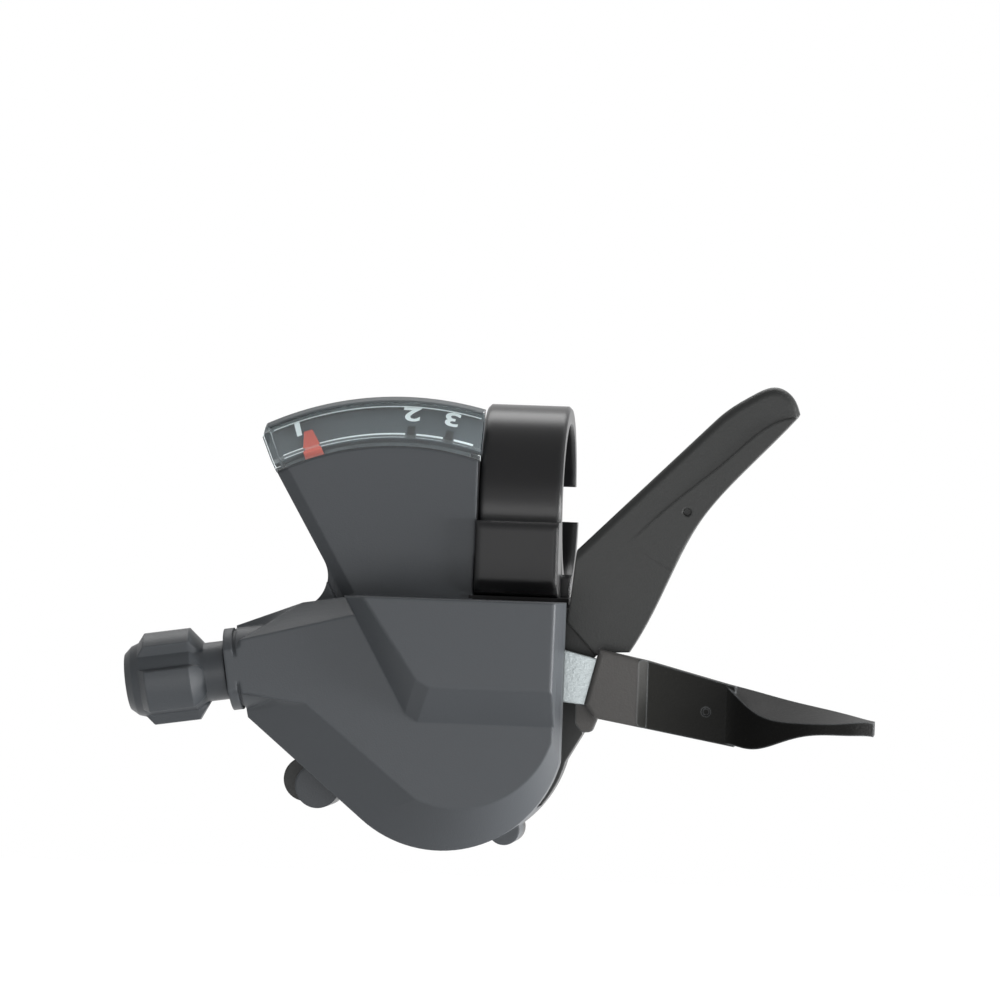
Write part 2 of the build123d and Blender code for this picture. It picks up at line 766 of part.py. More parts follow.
arm_base = [(24.8, 11.3), (22.8, 11.2), (20.3, 10.7), (16.1, 15.2), (16.4, 17.6), (17.1, 25.2), (35.7, 43.8)]
arm_tip = [(35.7, 43.8), (40.6, 47.35), (44.1, 48.5), (46.4, 46.9), (47.2, 44.9)]
arm_lower = [(46.9, 44.4), (38.4, 35.3), (34.0, 29.8), (30.4, 22.7), (24.8, 11.3)]
crease_line = [(24.2, 26.3), (29.7, 31.65), (38.3, 39.0), (45.0, 44.0), (46.9, 44.4)]
arm_along = (1.0, 1.0)
arm_end = (0.3, -1.0)
arm_hole_place = (32.2, 30.9)

with BuildPart() as lever_band:
    # The arm's lower band rises from nothing at its foot to a fine crease along the fingertip
    with BuildSketch(deck(release_front)):
        with BuildLine():
            Spline(*crease_line)
            Spline(*arm_lower[:4])
            Line(arm_lower[3], crease_line[0])
        make_face()
    extrude(amount=band_rise)
    band_slope = Plane(
        origin=deck(release_front).from_local_coords((*crease_line[0], 0)),
        x_dir=(1, 0, -1),
        z_dir=(-band_rise / 30, -1, -band_rise / 30),
    )
    split(bisect_by=band_slope, keep=Keep.BOTTOM)
with BuildPart() as release_lever:
    with BuildSketch(deck(release_rear)):
        with BuildLine():
            Polyline(*arm_base)
            Spline(*arm_tip, tangents=(arm_along, arm_end))
            Line(arm_tip[-1], arm_lower[0])
            Spline(*arm_lower)
        make_face()
    extrude(amount=release_thickness)
    front_edges = release_lever.faces().sort_by(Axis.Y)[0].edges()
    top_edges = front_edges.sort_by_distance(deck(release_front).from_local_coords((*arm_tip[1], 0)))[:2]
    fillet(top_edges, arm_edge_radius)
    with BuildSketch(deck(release_rear)):
        Circle(hub_radius)
        Polygon(*neck_line, align=None)
        Polygon(polar(7.0, 166.0), (0, 0), polar(hub_radius, 108.0), ramp_high, ramp_low, align=None)
    extrude(amount=neck_thickness)
    add(lever_band.part)
    with BuildSketch(deck(release_rear)):
        Circle(axle_radius + run_clearance)
    extrude(amount=neck_thickness, mode=Mode.SUBTRACT)
    with BuildSketch(deck(release_rear)):
        with Locations(polar(spring_post_radius, release_post_angle)):
            Circle(spring_post_size)
    extrude(amount=-0.85 * release_spring_room)
    with BuildSketch(deck(release_front + band_rise)):
        with Locations(arm_hole_place):
            Circle(arm_hole_diameter / 2)
    extrude(amount=-arm_hole_depth, mode=Mode.SUBTRACT)
save(release_lever, "release_lever")

with BuildPart() as release_lever_spring:
    extrude(spiral_ribbon(base_front + 0.2, release_post_angle), amount=release_spring_room - 0.4)
save(release_lever_spring, "release_lever_spring")

# Main lever: flat plate on the axle with a lobe for the feed pawl's pivot
feed_centre = polar(*feed_pivot)
lever_line = [
    (-5.4, 5.9), (1.5, 12.4), (10.0, 12.2), (16.1, 11.35), (21.0, 10.2), (24.0, 8.6), (36.0, 5.6),
    (36.0, 1.6), (24.0, 4.4), (21.0, 3.8), (16.1, 4.2), (6.0, -5.3),
]


def lever_outline(depth, grow=0.0):
    """Outline of the main lever's plate, on the deck at a depth."""
    with BuildSketch(deck(depth)) as outline:
        Circle(hub_radius)
        Polygon(*lever_line, align=None)
        with Locations(feed_centre):
            Circle(feed_lobe_radius)
        if grow > 0:
            offset(amount=grow, mode=Mode.REPLACE)
    return outline.sketch


with BuildPart() as main_lever_plate:
    extrude(lever_outline(lever_rear), amount=lever_thickness)
    with BuildSketch(deck(lever_rear)):
        Circle(axle_radius + run_clearance)
        with Locations(feed_centre):
            Circle(feed_pin_diameter / 2 + run_clearance / 2)
    extrude(amount=lever_thickness, mode=Mode.SUBTRACT)
    with BuildSketch(deck(lever_rear)):
        with Locations(polar(spring_post_radius, lever_post_angle)):
            Circle(spring_post_size)
    extrude(amount=neck_front + 0.4 - lever_rear)
    with BuildSketch(deck(lever_front)):
        with Locations(feed_post):
            Circle(spring_post_size)
    extrude(amount=layer_gap)
save(main_lever_plate, "main_lever_plate")

with BuildPart() as main_lever_spring:
    extrude(spiral_ribbon(neck_front + 0.4, lever_post_angle), amount=lever_rear - neck_front - 0.8)
save(main_lever_spring, "main_lever_spring")

# Thumb paddle moulded on the end of the main lever
paddle_rear = lever_rear - paddle_skin
paddle_line = [
    (12.4, -20.1), (19.2, -21.4), (31.4, -24.5), (31.4, -32.8), (15.6, -30.1), (12.0, -29.5), (10.6, -27.6),
]
sleeve_line = [
    (12.5, -20.1), (19.2, -21.4), (19.2, -30.7), (15.6, -30.1), (12.0, -29.5), (10.7, -27.7),
]
tab_line = [(9.4, -27.4), (12.4, -27.4), (12.4, -29.6), (11.7, -31.5), (10.4, -31.6), (9.4, -30.4)]
pad_sections = [
    (0.0, [(19.5, -24.0), (22.7, -24.0), (22.7, -32.4), (19.5, -32.4)]),
    (0.12, [(19.3, -24.6), (23.4, -26.1), (23.4, -32.7), (19.5, -32.6)]),
    (0.24, [(19.0, -25.2), (25.2, -28.0), (25.2, -32.9), (19.4, -32.5)]),
    (0.395, [(18.8, -26.0), (27.4, -28.9), (27.4, -31.9), (19.2, -30.9)]),
    (0.625, [(18.8, -27.0), (29.0, -29.0), (29.0, -30.6), (19.0, -29.9)]),
    (0.855, [(19.4, -28.0), (28.2, -28.7), (28.2, -30.5), (19.6, -30.2)]),
    (1.0, [(21.2, -28.6), (26.4, -28.8), (26.4, -30.6), (21.2, -30.5)]),
]
dimple_place = (27.4, -28.1)
dimple_size = (0.65, 0.35)


def from_bar(points):
    """Points given by X and Z, in the axes of a deck."""
    return [(x - axle_x, z - axle_z) for x, z in points]


def pad_section(share, corners):
    """Section of the thumb pad at a share of its length, by depth and Z."""
    with BuildSketch(Plane.YZ.offset(pad_root + share * (paddle_reach - pad_root))) as outline:
        Polygon(*[(-depth, z) for depth, z in corners], align=None)
    return outline.sketch


with BuildPart() as lever_paddle:
    with BuildSketch(deck(paddle_rear)):
        Polygon(*from_bar(paddle_line), align=None)
    extrude(amount=lever_front + web_rise - paddle_rear)
    with BuildSketch(deck(paddle_rear)) as tab:
        Polygon(*from_bar(tab_line), align=None)
        fillet(tab.vertices().sort_by(Axis.Y)[:3], spring_post_size)
    extrude(amount=lever_front - paddle_rear)
    with BuildSketch(deck(lever_front + web_rise)):
        with Locations(*from_bar([dimple_place])):
            Circle(dimple_size[0])
    extrude(amount=-dimple_size[1], taper=30, mode=Mode.SUBTRACT)
    with BuildSketch(deck(paddle_rear)):
        Polygon(*from_bar(sleeve_line), align=None)
    extrude(amount=lever_front + sleeve_rise - paddle_rear)
    sleeve_edges = lever_paddle.faces().sort_by(Axis.Y)[0].edges()
    chamfer(sleeve_edges.sort_by(Axis.X)[-1], sleeve_bevel)
    sleeve_edges = lever_paddle.faces().sort_by(Axis.Y)[0].edges()
    fillet(sleeve_edges.sort_by(Axis.X)[:-1], sleeve_edge_radius)
    loft([pad_section(share, corners) for share, corners in pad_sections], ruled=False)
    extrude(lever_outline(lever_rear, run_clearance), amount=lever_thickness, mode=Mode.SUBTRACT)
save(lever_paddle, "lever_paddle")

# Ratchet plate: feed notches for the lever's pawl, holding notches, and an ear for the needle's drive
first_step = reel_stroke - second_gear_turn
land = ratchet_radius + 1
feed_notch = [(land, 54.8), (notch_radius, 54.8), (notch_radius, 66.0), (land, 75.5)]
holding_notch = [(land, 167.9), (notch_radius, 167.9), (notch_radius, 177.0), (land, 186.0)]
peg_places = [polar(5.5, angle) for angle in (20.0, 140.0, 260.0)]
with BuildPart() as ratchet_plate:
    with BuildSketch(deck(ratchet_rear)):
        Circle(ratchet_radius)
        for turn in (0.0, reel_stroke - lever_stroke):
            Polygon(*[polar(r, a + turn) for r, a in feed_notch], align=None, mode=Mode.SUBTRACT)
        for turn in (0.0, first_step):
            Polygon(*[polar(r, a + turn) for r, a in holding_notch], align=None, mode=Mode.SUBTRACT)
        with Locations(polar(drive_pin_radius, drive_pin_start)):
            Circle(ear_radius)
        with Locations(polar(drive_pin_radius, drive_pin_start)):
            Circle(drive_pin_diameter / 2, mode=Mode.SUBTRACT)
        with Locations(*peg_places):
            Circle(peg_radius + run_clearance, mode=Mode.SUBTRACT)
        Circle(axle_radius + run_clearance, mode=Mode.SUBTRACT)
    extrude(amount=ratchet_thickness)
save(ratchet_plate, "ratchet_plate")

# Cable reel: grooved sector with a pocket for the cable's nipple, pegged to the ratchet
with BuildPart() as cable_reel:
    with BuildSketch(deck(reel_rear)):
        Circle(reel_hub_radius)
        with BuildLine():
            Line((0, 0), polar(reel_flange_radius, 62.0))
            CenterArc((0, 0), reel_flange_radius, 62.0, 108.0)
            Line(polar(reel_flange_radius, 170.0), (0, 0))
        make_face()
        Circle(axle_radius + run_clearance, mode=Mode.SUBTRACT)
    extrude(amount=reel_thickness)
    with BuildSketch(deck(groove_depth)):
        Circle(reel_flange_radius + 1)
        Circle(reel_groove_radius - cable_diameter / 2, mode=Mode.SUBTRACT)
    extrude(amount=0.65 * cable_diameter, both=True, mode=Mode.SUBTRACT)
    with BuildSketch(deck(reel_front)):
        with Locations(polar(9.5, 75.0)):
            Circle(nipple_diameter / 2)
    extrude(amount=-0.8 * reel_thickness, mode=Mode.SUBTRACT)
    with BuildSketch(deck(reel_rear)):
        with Locations(*peg_places):
            Circle(peg_radius)
    extrude(amount=-ratchet_thickness)
save(cable_reel, "cable_reel")

with BuildPart() as indicator_drive_pin:
    with BuildSketch(deck(needle_front - needle_thickness - 0.4)):
        with Locations(polar(drive_pin_radius, drive_pin_start)):
            Circle(drive_pin_diameter / 2)
    extrude(amount=ratchet_front - needle_front + needle_thickness + 0.4)
save(indicator_drive_pin, "indicator_drive_pin")

# Feed pawl on the main lever, with its pin and spring
with BuildPart() as feed_pawl:
    with BuildSketch(deck(ratchet_rear + touch_gap)):
        with Locations(feed_centre):
            Circle(0.95 * feed_pin_diameter)
        Polygon(
            polar(ratchet_radius + nose_lift, feed_nose_angle),
            polar(ratchet_radius + 2.7, feed_nose_angle + 1),
            shifted(feed_centre, 0.9, 2.05),
            shifted(feed_centre, -1.2, -1.9),
            polar(ratchet_radius + 1.5, feed_nose_angle + 20),
            polar(ratchet_radius + nose_lift, feed_nose_angle + 7),
            align=None,
        )
        with Locations(feed_centre):
            Circle(feed_pin_diameter / 2 + run_clearance, mode=Mode.SUBTRACT)
    extrude(amount=ratchet_thickness - 3 * touch_gap)
save(feed_pawl, "feed_pawl")

with BuildPart() as feed_pawl_pin:
    with BuildSketch(deck(lever_rear)):
        with Locations(feed_centre):
            Circle(feed_pin_diameter / 2)
    extrude(amount=ratchet_front - 1.5 * touch_gap - lever_rear)
save(feed_pawl_pin, "feed_pawl_pin")

with BuildPart() as feed_pawl_spring:
    with BuildSketch(deck(lever_front + touch_gap)):
        with Locations(feed_centre):
            Circle(feed_pin_diameter / 2 + touch_gap + spring_wire)
        Polygon(
            shifted(feed_centre, 0.0, 1.9),
            shifted(feed_centre, 0.0, 1.3),
            polar(ratchet_radius + 2.2, feed_nose_angle + 6),
            polar(ratchet_radius + 2.8, feed_nose_angle + 6),
            align=None,
        )
        Polygon(
            shifted(feed_centre, 0.0, -1.9),
            shifted(feed_centre, 0.0, -1.3),
            shifted(feed_post, 0.0, spring_post_size + spring_wire + touch_gap),
            shifted(feed_post, 0.0, spring_post_size + touch_gap),
            align=None,
        )
        with Locations(feed_centre):
            Circle(feed_pin_diameter / 2 + touch_gap, mode=Mode.SUBTRACT)
    extrude(amount=layer_gap - 2 * touch_gap)
save(feed_pawl_spring, "feed_pawl_spring")

# Holding pawl on its fixed pin, lifted through a pin that rests on the release lever's cam
with BuildPart() as holding_pawl:
    with BuildSketch(deck(lever_front + 0.4)):
        with Locations(pawl_centre):
            Circle(0.85 * holding_pin_diameter)
        Polygon(
            polar(ratchet_radius + nose_lift, holding_nose_angle),
            polar(ratchet_radius + nose_lift, holding_nose_angle + 7),
            polar(ratchet_radius + 1.6, holding_nose_angle + 20),
            shifted(pawl_centre, 1.6, -1.9),
            shifted(pawl_centre, -0.6, 2.4),
            polar(ratchet_radius + 3.9, holding_nose_angle + 14),
            polar(ratchet_radius + 2.6, holding_nose_angle - 2),
            align=None,
        )
        with Locations(pawl_centre):
            Circle(holding_pin_diameter / 2 + run_clearance, mode=Mode.SUBTRACT)
    extrude(amount=ratchet_front - 0.2 - lever_front - 0.4)
    with BuildSketch(deck(lever_front + 0.4)):
        with Locations(pin_rest):
            Circle(release_pin_diameter / 2)
    extrude(amount=release_rear + 0.2 - lever_front - 0.4)
save(holding_pawl, "holding_pawl")

with BuildPart() as holding_pawl_pin:
    with BuildSketch(deck(base_rear)):
        with Locations(pawl_centre):
            Circle(holding_pin_diameter / 2)
    extrude(amount=ratchet_front - 0.2 - base_rear)
    with BuildSketch(deck(lever_front + 0.3)):
        with Locations(pawl_centre):
            Circle(0.8 * holding_pin_diameter)
    extrude(amount=-0.7)
save(holding_pawl_pin, "holding_pawl_pin")

with BuildPart() as holding_pawl_spring:
    with BuildSketch(deck(lever_front - 1.4)):
        with Locations(pawl_centre):
            Circle(holding_pin_diameter / 2 + touch_gap + spring_wire)
        Polygon(
            shifted(pawl_centre, -0.2, 2.15),
            shifted(pawl_centre, 0.25, 1.95),
            shifted(pin_rest, 0.3, 1.45),
            shifted(pin_rest, 0.0, 2.05),
            align=None,
        )
        Polygon(
            shifted(pawl_centre, -2.2, 0.0),
            shifted(pawl_centre, -1.6, 0.0),
            shifted(pawl_post, -1.0, -0.4),
            shifted(pawl_post, -1.6, -0.4),
            align=None,
        )
        with Locations(pawl_centre):
            Circle(holding_pin_diameter / 2 + touch_gap, mode=Mode.SUBTRACT)
    extrude(amount=0.8)
save(holding_pawl_spring, "holding_pawl_spring")

# Gear display: clear window and dial turned about the needle's pivot, a back plate and the needle
window_rim_radius = fan_radius + window_lip + window_slope_run + window_rim
window_low = fan_front - window_slope_drop
skirt_low = window_low - window_skirt
foot_top_depth = skirt_low + window_foot_height
inner_start = window_wall * (slope_length - window_slope_run) / window_slope_drop
window_front = [(fan_radius, fan_front), under_slope(0, 0), under_slope(slope_length, 0)]
window_edge = [(window_rim_radius, window_low - window_wall), (window_rim_radius, skirt_low)]
window_section = window_front + window_edge + [
    (window_rim_radius - window_foot_width, skirt_low),
    (window_rim_radius - window_foot_width, foot_top_depth),
    (window_rim_radius - window_wall, foot_top_depth),
    (window_rim_radius - window_wall, window_low - window_wall),
    under_slope(slope_length, window_wall),
    under_slope(inner_start, window_wall),
    (fan_radius, fan_front - window_wall),
]
cap_section = window_front + window_edge + [
    (window_rim_radius - window_foot_width, skirt_low),
    under_slope(slope_length, dial_offset - touch_gap),
    under_slope(dial_start, dial_offset - touch_gap),
    (fan_radius, fan_front - dial_offset),
]
dial_flange = skirt_low - touch_gap
dial_section = [
    under_slope(dial_start, dial_offset),
    under_slope(slope_length - touch_gap, dial_offset),
    (window_rim_radius - window_foot_width, dial_flange),
    (window_rim_radius - touch_gap, dial_flange),
    (window_rim_radius - touch_gap, dial_flange - dial_thickness),
    under_slope(slope_length - touch_gap, dial_offset + dial_thickness),
    under_slope(dial_start, dial_offset + dial_thickness),
]
pivot_axis = Axis(
    origin=(axle_x + needle_pivot_offset[0], 0, axle_z + needle_pivot_offset[1]), direction=(0, 1, 0)
)
display_end = Plane(origin=(axle_x + fan_right + window_overlap, 0, 0), z_dir=(1, 0, 0))
corner_end = on_arc(window_rim_radius - window_corner[1], fan_left_angle)
corner_rim = on_arc(window_rim_radius, fan_left_angle + window_corner[0])
corner_cut = [
    between(corner_end, corner_rim, -1), between(corner_end, corner_rim, 2),
    on_arc(1.1 * window_rim_radius, fan_left_angle),
]
with BuildPart() as indicator_window:
    with BuildSketch(display_plane(fan_left_angle)):
        Polygon(*window_section, align=None)
    revolve(axis=pivot_axis, revolution_arc=-2 * fan_left_angle)
    with BuildSketch(display_plane(fan_left_angle)):
        Polygon(*cap_section, align=None)
    revolve(axis=pivot_axis, revolution_arc=window_cap)
    split(bisect_by=display_end, keep=Keep.BOTTOM)
    with BuildSketch(deck(fan_front)):
        Polygon(*corner_cut, align=None)
    extrude(amount=-fan_front, mode=Mode.SUBTRACT)
save(indicator_window, "indicator_window")

with BuildPart() as indicator_dial:
    with BuildSketch(display_plane(fan_left_angle + touch_gap)):
        Polygon(*dial_section, align=None)
    revolve(axis=pivot_axis, revolution_arc=-2 * fan_left_angle)
    split(bisect_by=display_end.offset(-touch_gap), keep=Keep.BOTTOM)
    with BuildSketch(deck(fan_front)):
        Polygon(*corner_cut, align=None)
    extrude(amount=-fan_front, mode=Mode.SUBTRACT)
save(indicator_dial, "indicator_dial")

with BuildPart() as indicator_back:
    extrude(fan_outline(fan_rear, fan_floor, fan_side_wall + touch_gap, back_radius), amount=fan_back)
save(indicator_back, "indicator_back")

pivot = needle_pivot_offset
needle_root = fan_radius - 0.2
needle_bend = fan_radius + 1.1
needle_knee = 0.62 * fan_radius
tip_below = needle_tip_offset + needle_thickness
tip_end = under_slope(needle_tip_length, needle_tip_offset)[0] + 1


def along_needle(side, reach):
    """Point of the needle at rest, by the way off its middle line and the reach from its pivot."""
    return turned(shifted(pivot, side, reach), -needle_rest_angle, pivot)


with BuildPart() as indicator_needle:
    path = []
    for step in range(7):
        turn = reel_stroke * step / 6
        pin_place = polar(drive_pin_radius, drive_pin_start - turn)
        path.append(turned(pin_place, needle_ratio * turn, pivot))
    with BuildSketch(deck(needle_front - needle_thickness)):
        with Locations(pivot):
            Circle(holding_pin_diameter)
        Polygon(
            along_needle(-0.5 * holding_pin_diameter, 0),
            along_needle(0.5 * holding_pin_diameter, 0),
            turned(shifted(pivot, needle_half_width, needle_knee), -needle_shank_angle, pivot),
            along_needle(needle_half_width, needle_bend),
            along_needle(-needle_half_width, needle_bend),
            turned(shifted(pivot, -needle_half_width, needle_knee), -needle_shank_angle, pivot),
            align=None,
        )
        with BuildLine() as tail:
            Polyline(*path, pivot)
        trace(tail.line, line_width=drive_pin_diameter + 2 * layer_gap)
        with BuildLine() as fork:
            Polyline(shifted(path[0], path[0][0] - path[1][0], path[0][1] - path[1][1]), *path)
        trace(fork.line, line_width=drive_pin_diameter + 4 * touch_gap, mode=Mode.SUBTRACT)
        with Locations(path[-1]):
            Circle(drive_pin_diameter / 2 + 2 * touch_gap, mode=Mode.SUBTRACT)
        with Locations(pivot):
            Circle(holding_pin_diameter / 2 + run_clearance, mode=Mode.SUBTRACT)
    extrude(amount=needle_thickness)
    # Tip, bent down along the inside of the window and tapered
    with BuildSketch(display_plane(needle_rest_angle)):
        Polygon(
            (needle_root, needle_front - needle_thickness),
            (needle_root, needle_front),
            (fan_radius + needle_thickness, needle_front),
            under_slope(0.2, needle_tip_offset),
            under_slope(needle_tip_length, needle_tip_offset),
            under_slope(needle_tip_length, tip_below),
            under_slope(needle_thickness + 0.3, tip_below),
            align=None,
        )
    extrude(amount=needle_half_width, both=True)
    with BuildSketch(deck(needle_front + 1)):
        for side in (-1, 1):
            Polygon(
                along_needle(side * needle_half_width, needle_bend),
                along_needle(side * (needle_half_width + 1), needle_bend),
                along_needle(side * (needle_half_width + 1), tip_end),
                along_needle(side * 0.25 * needle_half_width, tip_end),
                align=None,
            )
    extrude(amount=-6, mode=Mode.SUBTRACT)
save(indicator_needle, "indicator_needle")

with BuildPart() as needle_pivot:
    with BuildSketch(deck(base_front)):
        with Locations(needle_pivot_offset):
            Circle(holding_pin_diameter / 2)
    extrude(amount=needle_front - needle_thickness - 0.4 - base_front)
    with BuildSketch(deck(needle_front - needle_thickness - 0.4)):
        with Locations(needle_pivot_offset):
            Circle(0.8 * holding_pin_diameter)
    extrude(amount=-0.6)
save(needle_pivot, "needle_pivot")

# Cable adjuster: lobed knob with a seat for the housing, on a shank in the boss
knob_start = boss_face + neck_length + touch_gap
knob_end = barrel_plane(knob_start + knob_length)
barrel_axis = Axis(origin=knob_end.origin, direction=knob_end.z_dir)
core_line = [
    (0, 0), (0, neck_radius), (0.3, neck_radius), (1.9, knob_core_radius), (9.0, knob_core_radius),
    (10.2, 0.92 * knob_core_radius), (knob_length, knob_end_radius), (knob_length, 0),
]
pad_line = [
    (0.1, shank_radius), (0.1, neck_radius), (1.9, knob_radius), (8.2, knob_radius),
    (9.3, 0.96 * knob_core_radius), (9.3, shank_radius),
]


def barrel_side(angle):
    """Plane through the cable's line, with the way out along its x and the radius along its y."""
    base = barrel_plane(knob_start)
    radial = base.x_dir * cos(radians(angle)) + base.y_dir * sin(radians(angle))
    return Plane(origin=base.origin, x_dir=base.z_dir, z_dir=base.z_dir.cross(radial))


with BuildPart() as knob_pad:
    with BuildSketch(barrel_side(0)):
        Polygon(*pad_line, align=None)
    revolve(axis=barrel_axis)
    pad_side = barrel_side(first_pad_angle)
    pad_plane = Plane(origin=pad_side.origin, x_dir=pad_side.x_dir, z_dir=pad_side.y_dir)
    with BuildSketch(pad_plane) as pad_outline:
        Rectangle(pad_line[-1][0], pad_width, align=(Align.MIN, Align.CENTER))
        fillet(pad_outline.vertices().sort_by(Axis.X)[:2], pad_corner)
    extrude(amount=2 * knob_radius, mode=Mode.INTERSECT)
with BuildPart() as adjuster_barrel:
    with BuildSketch(barrel_plane(boss_face + 0.25)):
        Circle(neck_radius)
    extrude(amount=knob_start - boss_face)
    with BuildSketch(barrel_plane(boss_face + 0.25)):
        Circle(shank_radius)
    extrude(amount=-shank_length)
    with BuildSketch(barrel_side(0)):
        Polygon(*core_line, align=None)
    revolve(axis=barrel_axis)
    for pad in range(knob_pads):
        add(knob_pad.part.rotate(barrel_axis, pad * 360 / knob_pads))
    with BuildSketch(knob_end):
        Circle(seat_radius)
    extrude(amount=-seat_depth, mode=Mode.SUBTRACT)
    with BuildSketch(knob_end):
        Circle(wire_hole_radius)
    extrude(amount=-knob_length - neck_length - shank_length - 1, mode=Mode.SUBTRACT)
save(adjuster_barrel, "adjuster_barrel")
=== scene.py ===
import json
import math

import bmesh
import bpy
from mathutils import Matrix, Vector


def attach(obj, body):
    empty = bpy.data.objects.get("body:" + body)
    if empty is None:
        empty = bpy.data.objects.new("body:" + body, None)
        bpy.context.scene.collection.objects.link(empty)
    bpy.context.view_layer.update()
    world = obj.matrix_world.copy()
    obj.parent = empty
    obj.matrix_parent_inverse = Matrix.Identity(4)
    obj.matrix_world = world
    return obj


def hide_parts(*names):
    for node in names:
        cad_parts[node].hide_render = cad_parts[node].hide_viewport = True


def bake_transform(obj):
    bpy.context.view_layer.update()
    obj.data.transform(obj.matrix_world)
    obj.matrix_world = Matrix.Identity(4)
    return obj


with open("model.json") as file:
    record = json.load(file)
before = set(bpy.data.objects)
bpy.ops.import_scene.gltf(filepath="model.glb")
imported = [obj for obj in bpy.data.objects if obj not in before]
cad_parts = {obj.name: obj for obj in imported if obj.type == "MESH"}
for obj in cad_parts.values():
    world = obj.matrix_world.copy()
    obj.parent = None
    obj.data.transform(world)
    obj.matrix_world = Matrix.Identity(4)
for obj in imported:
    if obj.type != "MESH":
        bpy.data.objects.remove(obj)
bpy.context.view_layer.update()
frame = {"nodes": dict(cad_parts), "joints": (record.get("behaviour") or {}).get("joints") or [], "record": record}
nodes = frame["nodes"]
MM = 0.001

# Camera: far off with a long lens, a little to the grip's side, and rolled as the photograph is
CAMERA_DISTANCE = 1000 * MM
CAMERA_AZIMUTH = math.radians(5)
CAMERA_ROLL = math.radians(2)
CAMERA_SHIFT_RIGHT = -3.94 * MM
CAMERA_SHIFT_UP = 0.14 * MM
FOCAL_PIXELS = 7100
PHOTO_PIXELS = 1000
SENSOR = 36
CLIP_START = 10 * MM

# Studio: a white floor and sky, brighter where they are seen directly, and four soft lights
FLOOR_HEIGHT = -0.16
FLOOR_HALF = 2
FLOOR_GLOW = 0.75
SKY_FILL = 0.3
# Each light: its name, place, what it faces, size and power
LIGHTS = (
    ("front_light", (0.35, -1.2, 0.12), (0, 0, -0.02), (0.9, 0.4), 2.5),
    ("right_light", (0.95, -0.12, -0.06), (0, 0, -0.03), (0.5, 0.16), 22),
    ("rear_top_light", (0.0, 0.5, 0.85), (0, 0, 0), (0.9, 0.4), 7),
    ("low_strip", (0.08, -0.5, -0.115), (0, 0, -0.01), (0.6, 0.14), 1.4),
)

# Paddle: how far from the clamp's middle the sleeve starts and the thumb's end lies,
# and its painted light and shade at three shares of that way: lighter on the sleeve, darker along the web and
# thumb
SLEEVE_START = 12 * MM
THUMB_END = 51 * MM
SLEEVE_PAINTED_LIGHT = (0.147, (0.066, 0.064, 0.062, 1))
WEB_PAINTED_SHADE = (0.16, (0.016, 0.016, 0.0148, 1))
THUMB_PAINTED_SHADE = (0.5, (0.0035, 0.0035, 0.0033, 1))

# Dark fillers painting shadow in the gaps round the clamp, lowest and highest corner: under its block and band,
# and beside the fan
BLOCK_GAP_SHADE = ((-6.5 * MM, -15.4 * MM, -14.15 * MM), (7.45 * MM, -5.0 * MM, -13.32 * MM))
FAN_GAP_SHADE = ((-5.895 * MM, -14.4 * MM, -3.0 * MM), (-5.805 * MM, -11.7 * MM, 5.3 * MM))
GAP_SHADE_EDGE = 0.03 * MM

# Springs: how near two points lie when they are welded into one
WELD = 0.001 * MM

# Display: radii from the needle's stud and depths in front of the bar's axis
needle_joint = next(j for j in frame["joints"] if j["name"] == "needle_turn")
STUD = Vector(needle_joint["pos_m"])
SLOPE_RADIUS = 39.9 * MM
SLOPE_DEPTH = 15.0 * MM
SLOPE_RUN = 0.8
SLOPE_DROP = 0.6
SLOPE_END = 6.0 * MM
DIAL_BELOW = 2.1 * MM
WINDOW_INSIDE = 0.92 * MM
MARK_LIFT = 0.03 * MM
GEAR_MARKS = (("1", -20.2), ("2", 1.5), ("3", 9.1))
NUMBER_HEIGHT = 2.4 * MM
NUMBER_SPREAD = 1.45
NUMBER_MIDDLE = 4.05 * MM
NUMBER_WEIGHT = 0.025
NUMBER_EXTRUDE = 0.01
DIAL_LEFT = -24.6
DIAL_RIGHT = 14.2
# Dark skin over the window's rim, a painted dark reflection: its ends, its start up the slope, the rim's radius
# and depths, and its thickness
BORDER_LEFT = -25.3
BORDER_RIGHT = 14.25
BORDER_START = 5.7 * MM
RIM_RADIUS = 45.2 * MM
RIM_DEPTHS = (10.5 * MM, 9.5 * MM)
BORDER_SKIN = 0.04 * MM
# Dark band inside the display, painted shade over a bright line lit through the window: its ends, radii and depths
INNER_SHADE_LEFT = -26.0
INNER_SHADE_RIGHT = 15.6
INNER_SHADE_RADII = (38.45 * MM, 39.3 * MM)
INNER_SHADE_DEPTHS = (11.3 * MM, 11.55 * MM)
# Dark strip in the joint between window and fan, painted shade: its ends, radii and depths
JOINT_SHADE_LEFT = -26.8
JOINT_SHADE_RIGHT = 16.8
JOINT_SHADE_RADII = (38.2 * MM, 38.33 * MM)
JOINT_SHADE_DEPTHS = (14.05 * MM, 15.02 * MM)
# The upper line is a painted highlight along the window's edge; the lower line and the ticks are print
UPPER_HIGHLIGHT = (5.3 * MM, 5.46 * MM)
LOWER_LINE = (1.15 * MM, 1.6 * MM)
TICK_LINE = (1.15 * MM, 2.9 * MM)
TICK_HALF = 1.1
TICK_INK = 0.7 * TICK_HALF
STRIP_STEP = 1.5


